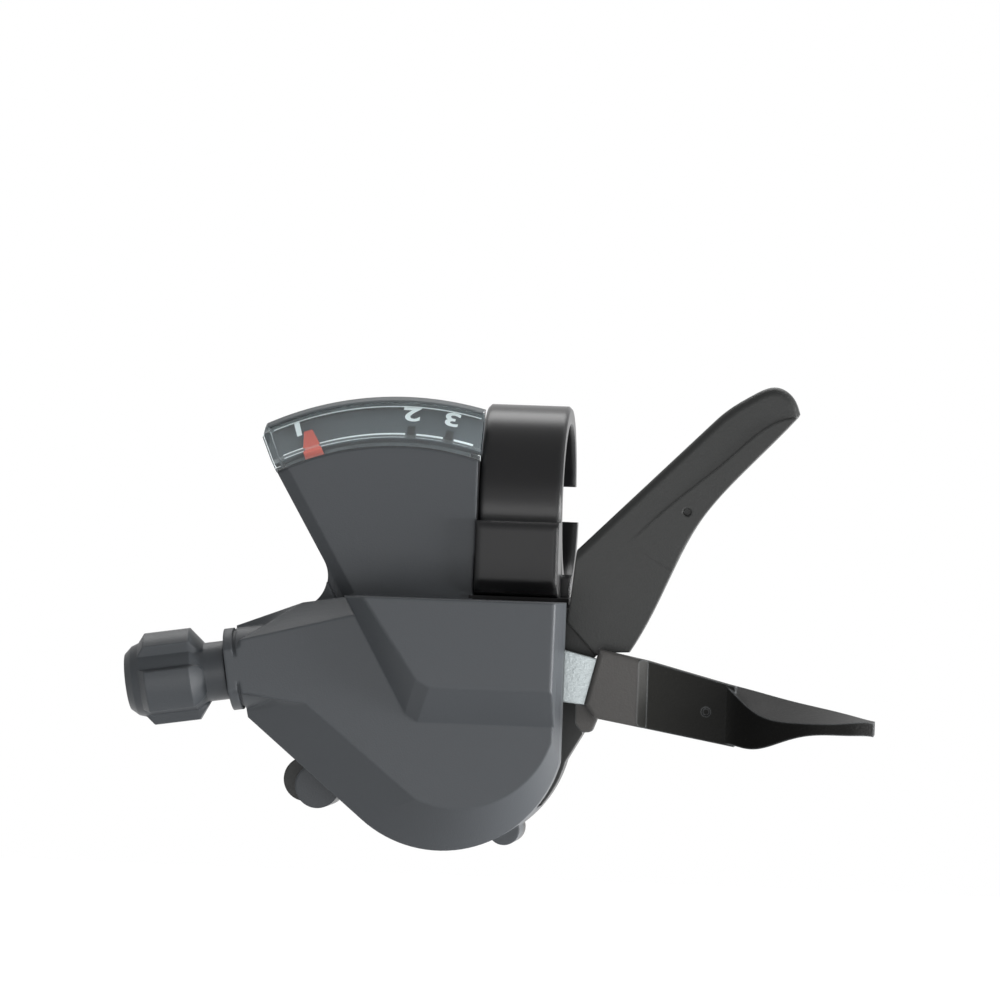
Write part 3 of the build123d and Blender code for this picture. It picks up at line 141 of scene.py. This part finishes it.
def place_camera():
    ahead = Vector((-math.sin(CAMERA_AZIMUTH), math.cos(CAMERA_AZIMUTH), 0))
    level = Vector((math.cos(CAMERA_AZIMUTH), math.sin(CAMERA_AZIMUTH), 0))
    upright = Vector((0, 0, 1))
    right = level * math.cos(CAMERA_ROLL) + upright * math.sin(CAMERA_ROLL)
    up = upright * math.cos(CAMERA_ROLL) - level * math.sin(CAMERA_ROLL)
    place = -CAMERA_DISTANCE * ahead + CAMERA_SHIFT_RIGHT * right + CAMERA_SHIFT_UP * up
    lens = bpy.data.cameras.new("camera")
    lens.sensor_width = SENSOR
    lens.lens = SENSOR * FOCAL_PIXELS / PHOTO_PIXELS
    lens.clip_start = CLIP_START
    camera = bpy.data.objects.new("camera", lens)
    camera.matrix_world = Matrix((
        (right.x, up.x, -ahead.x, place.x),
        (right.y, up.y, -ahead.y, place.y),
        (right.z, up.z, -ahead.z, place.z),
        (0, 0, 0, 1),
    ))
    bpy.context.scene.collection.objects.link(camera)
    bpy.context.scene.camera = camera


def new_material(name):
    material = bpy.data.materials.new(name)
    material.use_nodes = True
    tree = material.node_tree
    shader = tree.nodes["Principled BSDF"]
    return material, tree, shader


def value_socket(tree, name, in_out, socket_type, default=None):
    socket = tree.interface.new_socket(name, in_out=in_out, socket_type=socket_type)
    if default is not None:
        socket.default_value = default


def link(tree, source, target):
    tree.links.new(source, target)


def grain_group():
    """Fine moulded grain: a height for bump."""
    tree = bpy.data.node_groups.new("moulded_grain", "ShaderNodeTree")
    value_socket(tree, "Scale", "INPUT", "NodeSocketFloat", 3000)
    value_socket(tree, "Height", "OUTPUT", "NodeSocketFloat")
    start = tree.nodes.new("NodeGroupInput")
    end = tree.nodes.new("NodeGroupOutput")
    place = tree.nodes.new("ShaderNodeTexCoord")
    fine = tree.nodes.new("ShaderNodeTexNoise")
    fine.inputs["Detail"].default_value = 3
    fine.inputs["Roughness"].default_value = 0.6
    cells = tree.nodes.new("ShaderNodeTexVoronoi")
    half = tree.nodes.new("ShaderNodeMath")
    half.operation = "MULTIPLY"
    half.inputs[1].default_value = 0.6
    total = tree.nodes.new("ShaderNodeMath")
    total.operation = "MULTIPLY_ADD"
    total.inputs[1].default_value = 0.45
    link(tree, place.outputs["Object"], fine.inputs["Vector"])
    link(tree, place.outputs["Object"], cells.inputs["Vector"])
    link(tree, start.outputs["Scale"], fine.inputs["Scale"])
    link(tree, start.outputs["Scale"], half.inputs[0])
    link(tree, half.outputs[0], cells.inputs["Scale"])
    link(tree, cells.outputs["Distance"], total.inputs[0])
    link(tree, fine.outputs[0], total.inputs[2])
    link(tree, total.outputs[0], end.inputs["Height"])
    return tree


def drift_group():
    """Slow change of shade over a surface, with a matching change of gloss."""
    tree = bpy.data.node_groups.new("shade_drift", "ShaderNodeTree")
    value_socket(tree, "Color", "INPUT", "NodeSocketColor", (0.5, 0.5, 0.5, 1))
    value_socket(tree, "Scale", "INPUT", "NodeSocketFloat", 60)
    value_socket(tree, "Shade", "INPUT", "NodeSocketFloat", 0.1)
    value_socket(tree, "Roughness", "INPUT", "NodeSocketFloat", 0.45)
    value_socket(tree, "Spread", "INPUT", "NodeSocketFloat", 0.06)
    value_socket(tree, "Color", "OUTPUT", "NodeSocketColor")
    value_socket(tree, "Roughness", "OUTPUT", "NodeSocketFloat")
    start = tree.nodes.new("NodeGroupInput")
    end = tree.nodes.new("NodeGroupOutput")
    place = tree.nodes.new("ShaderNodeTexCoord")
    cloud = tree.nodes.new("ShaderNodeTexNoise")
    cloud.inputs["Detail"].default_value = 4
    centred = tree.nodes.new("ShaderNodeMath")
    centred.operation = "SUBTRACT"
    centred.inputs[1].default_value = 0.5
    gain = tree.nodes.new("ShaderNodeMath")
    gain.operation = "MULTIPLY"
    lift = tree.nodes.new("ShaderNodeMath")
    lift.operation = "ADD"
    lift.inputs[1].default_value = 1
    tint = tree.nodes.new("ShaderNodeVectorMath")
    tint.operation = "SCALE"
    gloss = tree.nodes.new("ShaderNodeMath")
    gloss.operation = "MULTIPLY_ADD"
    link(tree, place.outputs["Object"], cloud.inputs["Vector"])
    link(tree, start.outputs["Scale"], cloud.inputs["Scale"])
    link(tree, cloud.outputs[0], centred.inputs[0])
    link(tree, centred.outputs[0], gain.inputs[0])
    link(tree, start.outputs["Shade"], gain.inputs[1])
    link(tree, gain.outputs[0], lift.inputs[0])
    link(tree, start.outputs["Color"], tint.inputs[0])
    link(tree, lift.outputs[0], tint.inputs["Scale"])
    link(tree, tint.outputs[0], end.inputs["Color"])
    link(tree, centred.outputs[0], gloss.inputs[0])
    link(tree, start.outputs["Spread"], gloss.inputs[1])
    link(tree, start.outputs["Roughness"], gloss.inputs[2])
    link(tree, gloss.outputs[0], end.inputs["Roughness"])
    return tree


def edge_highlight_group():
    """Edges softened as moulded ones are, with a painted highlight: a paler colour along edges and creases."""
    tree = bpy.data.node_groups.new("painted_edge_highlight", "ShaderNodeTree")
    value_socket(tree, "Color", "INPUT", "NodeSocketColor", (0.1, 0.1, 0.1, 1))
    value_socket(tree, "Highlight Color", "INPUT", "NodeSocketColor", (0.3, 0.3, 0.3, 1))
    value_socket(tree, "Highlight Gain", "INPUT", "NodeSocketFloat", 2)
    value_socket(tree, "Radius", "INPUT", "NodeSocketFloat", 0.0004)
    value_socket(tree, "Color", "OUTPUT", "NodeSocketColor")
    value_socket(tree, "Normal", "OUTPUT", "NodeSocketVector")
    start = tree.nodes.new("NodeGroupInput")
    end = tree.nodes.new("NodeGroupOutput")
    crease = tree.nodes.new("ShaderNodeBevel")
    crease.samples = 6
    surface = tree.nodes.new("ShaderNodeNewGeometry")
    turn = tree.nodes.new("ShaderNodeVectorMath")
    turn.operation = "DOT_PRODUCT"
    away = tree.nodes.new("ShaderNodeMath")
    away.operation = "SUBTRACT"
    away.inputs[0].default_value = 1
    gain = tree.nodes.new("ShaderNodeMath")
    gain.operation = "MULTIPLY"
    gain.use_clamp = True
    tint = tree.nodes.new("ShaderNodeMix")
    tint.data_type = "RGBA"
    link(tree, start.outputs["Radius"], crease.inputs["Radius"])
    link(tree, crease.outputs["Normal"], turn.inputs[0])
    link(tree, surface.outputs["Normal"], turn.inputs[1])
    link(tree, turn.outputs["Value"], away.inputs[1])
    link(tree, away.outputs[0], gain.inputs[0])
    link(tree, start.outputs["Highlight Gain"], gain.inputs[1])
    link(tree, gain.outputs[0], tint.inputs[0])
    link(tree, start.outputs["Color"], tint.inputs[6])
    link(tree, start.outputs["Highlight Color"], tint.inputs[7])
    link(tree, tint.outputs[2], end.inputs["Color"])
    link(tree, crease.outputs["Normal"], end.inputs["Normal"])
    return tree


GRAIN = grain_group()
DRIFT = drift_group()
EDGE_HIGHLIGHT = edge_highlight_group()


def drifting(tree, color, scale, shade, roughness, spread):
    """The shade drift, set for one material."""
    drift = tree.nodes.new("ShaderNodeGroup")
    drift.node_tree = DRIFT
    drift.inputs["Color"].default_value = (*color, 1)
    drift.inputs["Scale"].default_value = scale
    drift.inputs["Shade"].default_value = shade
    drift.inputs["Roughness"].default_value = roughness
    drift.inputs["Spread"].default_value = spread
    return drift


def finished(name, color, roughness, grain_scale, grain_depth, shade=0.12, spread=0.08,
             drift_scale=90, metallic=0.0, specular=0.5, soften=0.35 * MM, highlight_gain=1.2, highlight_color=None):
    """A moulded, plated or coated surface: drifting shade and gloss, softened edges with a painted highlight, and
    a fine grain.
    """
    material, tree, shader = new_material(name)
    drift = drifting(tree, color, drift_scale, shade, roughness, spread)
    grain = tree.nodes.new("ShaderNodeGroup")
    grain.node_tree = GRAIN
    grain.inputs["Scale"].default_value = grain_scale
    edges = tree.nodes.new("ShaderNodeGroup")
    edges.node_tree = EDGE_HIGHLIGHT
    # Painted highlight: the paler colour along edges and creases
    edges.inputs["Highlight Color"].default_value = (*(highlight_color or [2.2 * c + 0.01 for c in color]), 1)
    edges.inputs["Highlight Gain"].default_value = highlight_gain
    edges.inputs["Radius"].default_value = soften
    bump = tree.nodes.new("ShaderNodeBump")
    bump.inputs["Strength"].default_value = 1
    bump.inputs["Distance"].default_value = grain_depth
    link(tree, edges.outputs["Normal"], bump.inputs["Normal"])
    link(tree, drift.outputs["Color"], edges.inputs["Color"])
    link(tree, edges.outputs["Color"], shader.inputs["Base Color"])
    link(tree, drift.outputs["Roughness"], shader.inputs["Roughness"])
    link(tree, grain.outputs["Height"], bump.inputs["Height"])
    link(tree, bump.outputs["Normal"], shader.inputs["Normal"])
    shader.inputs["Metallic"].default_value = metallic
    shader.inputs["Specular IOR Level"].default_value = specular
    return material


def clear_plastic():
    """Clear moulding with a faintly uneven polish."""
    material, tree, shader = new_material("clear_plastic")
    drift = drifting(tree, (0.9, 0.96, 0.97), scale=260, shade=0.03, roughness=0.06, spread=0.06)
    link(tree, drift.outputs["Color"], shader.inputs["Base Color"])
    link(tree, drift.outputs["Roughness"], shader.inputs["Roughness"])
    shader.inputs["IOR"].default_value = 1.46
    shader.inputs["Transmission Weight"].default_value = 1
    return material


def paddle_painted_shading():
    """The paddle's matt plastic with painted light and shade: grey on the sleeve over the lever plate, black along
    the thumb's reach.
    """
    material = finished("paddle_painted_shading", (0.03, 0.03, 0.029), 0.42, 3600, 0.00003, specular=0.04,
                        highlight_color=(0.11, 0.115, 0.118), highlight_gain=5)
    tree = material.node_tree
    place = tree.nodes.new("ShaderNodeTexCoord")
    split = tree.nodes.new("ShaderNodeSeparateXYZ")
    reach = tree.nodes.new("ShaderNodeMapRange")
    reach.inputs["From Min"].default_value = SLEEVE_START
    reach.inputs["From Max"].default_value = THUMB_END
    # Painted light and shade along the paddle: lighter on the sleeve, darker along the web and thumb
    painted_shading_ramp = tree.nodes.new("ShaderNodeValToRGB")
    stops = painted_shading_ramp.color_ramp.elements
    stops[0].position, stops[0].color = SLEEVE_PAINTED_LIGHT
    stops[1].position, stops[1].color = THUMB_PAINTED_SHADE
    bend = stops.new(WEB_PAINTED_SHADE[0])
    bend.color = WEB_PAINTED_SHADE[1]
    drift = next(n for n in tree.nodes if n.type == "GROUP" and n.node_tree == DRIFT)
    link(tree, place.outputs["Object"], split.inputs[0])
    link(tree, split.outputs["X"], reach.inputs["Value"])
    link(tree, reach.outputs[0], painted_shading_ramp.inputs[0])
    link(tree, painted_shading_ramp.outputs["Color"], drift.inputs["Color"])
    return material


MATERIALS = {
    "cover_grey": finished("cover_grey", (0.0365, 0.0402, 0.0446), 0.5, 5200, 0.000012, specular=0.25,
                           soften=0.5 * MM),
    "black_plastic": finished("black_plastic", (0.0145, 0.0152, 0.0149), 0.42, 4200, 0.000016,
                              specular=0.22, highlight_color=(0.085, 0.087, 0.085), highlight_gain=1.8),
    "clamp_black": finished("clamp_black", (0.007, 0.007, 0.0076), 0.28, 2600, 0.000002, shade=0.06,
                            spread=0.02, specular=0.2, soften=1.0 * MM, highlight_color=(0.07, 0.074, 0.078),
                            highlight_gain=1.0),
    "bolt_black": finished("bolt_black", (0.02, 0.02, 0.021), 0.35, 3000, 0.000004, metallic=0.6),
    "zinc_plate": finished("zinc_plate", (0.245, 0.268, 0.273), 0.42, 2600, 0.00003, shade=0.7, spread=0.3,
                           drift_scale=2400, metallic=1.0),
    "steel": finished("steel", (0.46, 0.46, 0.47), 0.32, 2600, 0.000005, shade=0.2, metallic=1.0),
    "spring_steel": finished("spring_steel", (0.3, 0.3, 0.31), 0.3, 2600, 0.000004, metallic=1.0),
    "reel_plastic": finished("reel_plastic", (0.045, 0.045, 0.047), 0.45, 4200, 0.00001),
    "clear_plastic": clear_plastic(),
    "dial_black": finished("dial_black", (0.068, 0.08, 0.089), 0.5, 3600, 0.000006,
                           soften=0.1 * MM, highlight_gain=0.3),
    "needle_red": finished("needle_red", (0.66, 0.085, 0.05), 0.42, 3600, 0.000005,
                           soften=0.1 * MM, highlight_gain=0.3),
}
PIECE_FINISH = {
    "lever_paddle": paddle_painted_shading(),
    "adjuster_barrel": finished("adjuster_black", (0.031, 0.0345, 0.0385), 0.45, 4600, 0.000014,
                                specular=0.25),
}
# White for print, and for the upper line's painted highlight
PRINT_AND_HIGHLIGHT_WHITE = finished("print_and_highlight_white", (0.86, 0.88, 0.88), 0.5, 4000, 0.000002, shade=0.05,
                       soften=0.0, highlight_gain=0.0)
# Dark for the printed ticks, and for the painted shade in the joint between window and fan
PRINT_AND_SHADE_DARK = finished("print_and_shade_dark", (0.012, 0.014, 0.015), 0.6, 4000, 0.000002, shade=0.05,
                      soften=0.0, highlight_gain=0.0)
# Black for the fillers that paint shadow in the gaps round the clamp
GAP_SHADE_BLACK = finished("gap_shade_black", (0.008, 0.008, 0.0085), 0.7, 4200, 0.00002, specular=0.15,
                     soften=0.05 * MM)
# Grey for the painted dark reflection over the window's rim
RIM_REFLECTION_GREY = finished("rim_reflection_grey", (0.075, 0.086, 0.092), 0.5, 3600, 0.000006, specular=0.2, highlight_gain=0.6)
for part in frame["record"]["subparts"]:
    piece = nodes[part["node"]]
    piece.data.materials.clear()
    piece.data.materials.append(PIECE_FINISH.get(part["node"], MATERIALS[part["material_slot"]]))


def display_point(angle, radius, depth):
    """Point on the display, by angle from upright, radius from the needle's stud and depth."""
    turn = math.radians(angle)
    return Vector((STUD.x + radius * math.sin(turn), -depth, STUD.z + radius * math.cos(turn)))


def slope_point(angle, along, below):
    """Point under the window's slope, by angle from upright, way up the slope and depth under it."""
    radius = SLOPE_RADIUS + along * SLOPE_RUN - below * SLOPE_DROP
    depth = SLOPE_DEPTH - along * SLOPE_DROP - below * SLOPE_RUN
    return display_point(angle, radius, depth)


def base_piece(name, mesh, material):
    """A finished piece that stays with the pod."""
    bmesh.ops.recalc_face_normals(mesh, faces=mesh.faces)
    data = bpy.data.meshes.new(name)
    mesh.to_mesh(data)
    mesh.free()
    data.materials.append(material)
    piece = bpy.data.objects.new(name, data)
    bpy.context.scene.collection.objects.link(piece)
    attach(piece, "base")


def wound_spring(name, node):
    """A spring copied from its CAD part, welded, finished in spring steel and put in the place of the CAD part,
    which is hidden.
    """
    mesh = bmesh.new()
    mesh.from_mesh(nodes[node].data)
    bmesh.ops.remove_doubles(mesh, verts=mesh.verts, dist=WELD)
    data = bpy.data.meshes.new(name)
    mesh.to_mesh(data)
    mesh.free()
    data.materials.append(MATERIALS["spring_steel"])
    piece = bpy.data.objects.new(name, data)
    bpy.context.scene.collection.objects.link(piece)
    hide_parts(node)
    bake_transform(piece)


def dial_numbers():
    """Gear numbers in white print inside the window, upside down as the display stands here."""
    whole = bmesh.new()
    for words, angle in GEAR_MARKS:
        letter = bpy.data.curves.new("gear_number", "FONT")
        letter.body = words
        letter.offset = NUMBER_WEIGHT
        letter.extrude = NUMBER_EXTRUDE
        holder = bpy.data.objects.new("gear_number", letter)
        flat = bpy.data.meshes.new_from_object(holder)
        print_mesh = bmesh.new()
        print_mesh.from_mesh(flat)
        across = [v.co.x for v in print_mesh.verts]
        height = [v.co.y for v in print_mesh.verts]
        middle = ((min(across) + max(across)) / 2, (min(height) + max(height)) / 2)
        tall = max(height) - min(height)
        for v in print_mesh.verts:
            right = (v.co.x - middle[0]) / tall * NUMBER_HEIGHT * NUMBER_SPREAD
            up = (v.co.y - middle[1]) / tall * NUMBER_HEIGHT
            below = WINDOW_INSIDE if v.co.z > 0 else WINDOW_INSIDE + MARK_LIFT
            turn = angle - math.degrees(right / SLOPE_RADIUS)
            v.co = slope_point(turn, NUMBER_MIDDLE - up, below)
        print_mesh.to_mesh(flat)
        print_mesh.free()
        whole.from_mesh(flat)
        bpy.data.objects.remove(holder)
        bpy.data.meshes.remove(flat)
    base_piece("dial_numbers", whole, PRINT_AND_HIGHLIGHT_WHITE)


def turned_strip(mesh, start, end, corners):
    """A strip along the display: its section turned about the needle's stud."""
    verts = [mesh.verts.new(corner) for corner in corners]
    face = mesh.faces.new(verts)
    bmesh.ops.spin(
        mesh,
        geom=[face] + list(face.edges) + verts,
        cent=STUD,
        axis=(0, 1, 0),
        angle=math.radians(end - start),
        steps=max(2, int((end - start) / STRIP_STEP)),
    )


def slope_line(mesh, start, end, span, below):
    """A thin line along the display, with its face that far under the window's slope; the dial's print and the
    upper line's painted highlight are drawn with it.
    """
    under = below + MARK_LIFT
    section = ((span[0], under), (span[0], below), (span[1], below), (span[1], under))
    turned_strip(mesh, start, end, [slope_point(start, along, depth) for along, depth in section])


def dial_line(mesh, start, end, span):
    """A line printed on the dial."""
    slope_line(mesh, start, end, span, DIAL_BELOW - MARK_LIFT)


def window_rim_reflection():
    """Dark grey skin over the window's rim: a painted dark reflection in place of the bright grazing one that the
    clear rim catches.
    """
    mesh = bmesh.new()
    skin = BORDER_SKIN
    corners = [
        slope_point(BORDER_LEFT, BORDER_START, 0),
        slope_point(BORDER_LEFT, BORDER_START, -skin),
        slope_point(BORDER_LEFT, SLOPE_END, -skin),
        display_point(BORDER_LEFT, RIM_RADIUS + skin, RIM_DEPTHS[0]),
        display_point(BORDER_LEFT, RIM_RADIUS + skin, RIM_DEPTHS[1]),
        display_point(BORDER_LEFT, RIM_RADIUS, RIM_DEPTHS[1]),
        display_point(BORDER_LEFT, RIM_RADIUS, RIM_DEPTHS[0]),
        slope_point(BORDER_LEFT, SLOPE_END, 0),
    ]
    turned_strip(mesh, BORDER_LEFT, BORDER_RIGHT, corners)
    base_piece("window_rim_reflection", mesh, RIM_REFLECTION_GREY)


def display_band(name, start, end, radii, depths, material):
    """A flat band along the display, between two radii and two depths."""
    mesh = bmesh.new()
    section = ((radii[0], depths[0]), (radii[0], depths[1]), (radii[1], depths[1]), (radii[1], depths[0]))
    turned_strip(mesh, start, end, [display_point(start, radius, depth) for radius, depth in section])
    base_piece(name, mesh, material)


def shade_filler(name, low, high):
    """Dark filler in a gap, painted shadow where the gap lies in shade, with its edges eased."""
    mesh = bmesh.new()
    bmesh.ops.create_cube(mesh, size=1)
    bmesh.ops.scale(mesh, vec=Vector(high) - Vector(low), verts=mesh.verts)
    bmesh.ops.translate(mesh, vec=(Vector(high) + Vector(low)) / 2, verts=mesh.verts)
    bmesh.ops.bevel(
        mesh, geom=list(mesh.edges), offset=GAP_SHADE_EDGE, affect="EDGES", segments=3, profile=0.5, material=-1
    )
    base_piece(name, mesh, GAP_SHADE_BLACK)


def dial_lines():
    """White lines along the display: the upper one a painted highlight along the window's edge, the lower one
    printed and broken at each gear's tick.
    """
    white = bmesh.new()
    # The upper line: a painted highlight along the window's edge, on the window's inside
    slope_line(white, DIAL_LEFT, DIAL_RIGHT, UPPER_HIGHLIGHT, WINDOW_INSIDE)
    start = DIAL_LEFT
    for _, angle in GEAR_MARKS[1:]:
        dial_line(white, start, angle - TICK_HALF, LOWER_LINE)
        start = angle + TICK_HALF
    dial_line(white, start, DIAL_RIGHT, LOWER_LINE)
    base_piece("dial_lines", white, PRINT_AND_HIGHLIGHT_WHITE)
    dark = bmesh.new()
    for _, angle in GEAR_MARKS[1:]:
        dial_line(dark, angle - TICK_INK, angle + TICK_INK, TICK_LINE)
    base_piece("dial_ticks", dark, PRINT_AND_SHADE_DARK)


dial_numbers()
dial_lines()
# Painted dark reflection over the window's rim
window_rim_reflection()
# A dark strip in the joint between the window's lip and the fan: painted shade, which also hides the light seen
# through the lip
display_band("window_joint_shade", JOINT_SHADE_LEFT, JOINT_SHADE_RIGHT, JOINT_SHADE_RADII, JOINT_SHADE_DEPTHS, PRINT_AND_SHADE_DARK)
# A dark band inside the display: painted shade over a bright line lit through the window
display_band("display_inner_shade", INNER_SHADE_LEFT, INNER_SHADE_RIGHT, INNER_SHADE_RADII, INNER_SHADE_DEPTHS,
             MATERIALS["dial_black"])
wound_spring("release_coil", "release_lever_spring")
wound_spring("lever_coil", "main_lever_spring")
wound_spring("pawl_coil", "holding_pawl_spring")
# Dark fillers that paint shadow in the gaps under the clamp's block and beside the fan
shade_filler("block_gap_shade", *BLOCK_GAP_SHADE)
shade_filler("fan_gap_shade", *FAN_GAP_SHADE)


def seen_directly(tree):
    """1 for rays from the camera, off a glossy surface or through a clear one, and 0 for the others."""
    path = tree.nodes.new("ShaderNodeLightPath")
    seen = tree.nodes.new("ShaderNodeMath")
    seen.operation = "MAXIMUM"
    shown = tree.nodes.new("ShaderNodeMath")
    shown.operation = "MAXIMUM"
    link(tree, path.outputs["Is Camera Ray"], seen.inputs[0])
    link(tree, path.outputs["Is Glossy Ray"], seen.inputs[1])
    link(tree, seen.outputs[0], shown.inputs[0])
    link(tree, path.outputs["Is Transmission Ray"], shown.inputs[1])
    return shown.outputs[0]


def studio():
    world = bpy.data.worlds.new("studio")
    bpy.context.scene.world = world
    world.use_nodes = True
    tree = world.node_tree
    sky = tree.nodes["Background"]
    level = tree.nodes.new("ShaderNodeMapRange")
    level.inputs["To Min"].default_value = SKY_FILL
    level.inputs["To Max"].default_value = 1
    sky.inputs["Color"].default_value = (1, 1, 1, 1)
    link(tree, seen_directly(tree), level.inputs["Value"])
    link(tree, level.outputs[0], sky.inputs["Strength"])

    def softbox(name, place, target, size, power):
        lamp = bpy.data.lights.new(name, "AREA")
        lamp.shape = "RECTANGLE"
        lamp.size, lamp.size_y = size
        lamp.energy = power
        box = bpy.data.objects.new(name, lamp)
        box.location = place
        box.rotation_euler = (Vector(target) - Vector(place)).to_track_quat("-Z", "Y").to_euler()
        box.visible_camera = False
        bpy.context.scene.collection.objects.link(box)

    for light in LIGHTS:
        softbox(*light)

    mesh = bmesh.new()
    bmesh.ops.create_grid(
        mesh, x_segments=1, y_segments=1, size=FLOOR_HALF, matrix=Matrix.Translation((0, 0, FLOOR_HEIGHT))
    )
    data = bpy.data.meshes.new("floor")
    mesh.to_mesh(data)
    mesh.free()
    floor = bpy.data.objects.new("floor", data)
    bpy.context.scene.collection.objects.link(floor)
    paint, tree, shader = new_material("floor_paint")
    shader.inputs["Base Color"].default_value = (0.86, 0.86, 0.86, 1)
    shader.inputs["Roughness"].default_value = 0.8
    shader.inputs["Emission Color"].default_value = (1, 1, 1, 1)
    level = tree.nodes.new("ShaderNodeMath")
    level.operation = "MULTIPLY"
    level.inputs[1].default_value = FLOOR_GLOW
    link(tree, seen_directly(tree), level.inputs[0])
    link(tree, level.outputs[0], shader.inputs["Emission Strength"])
    data.materials.append(paint)


place_camera()
studio()
bpy.context.scene.view_settings.view_transform = "Standard"
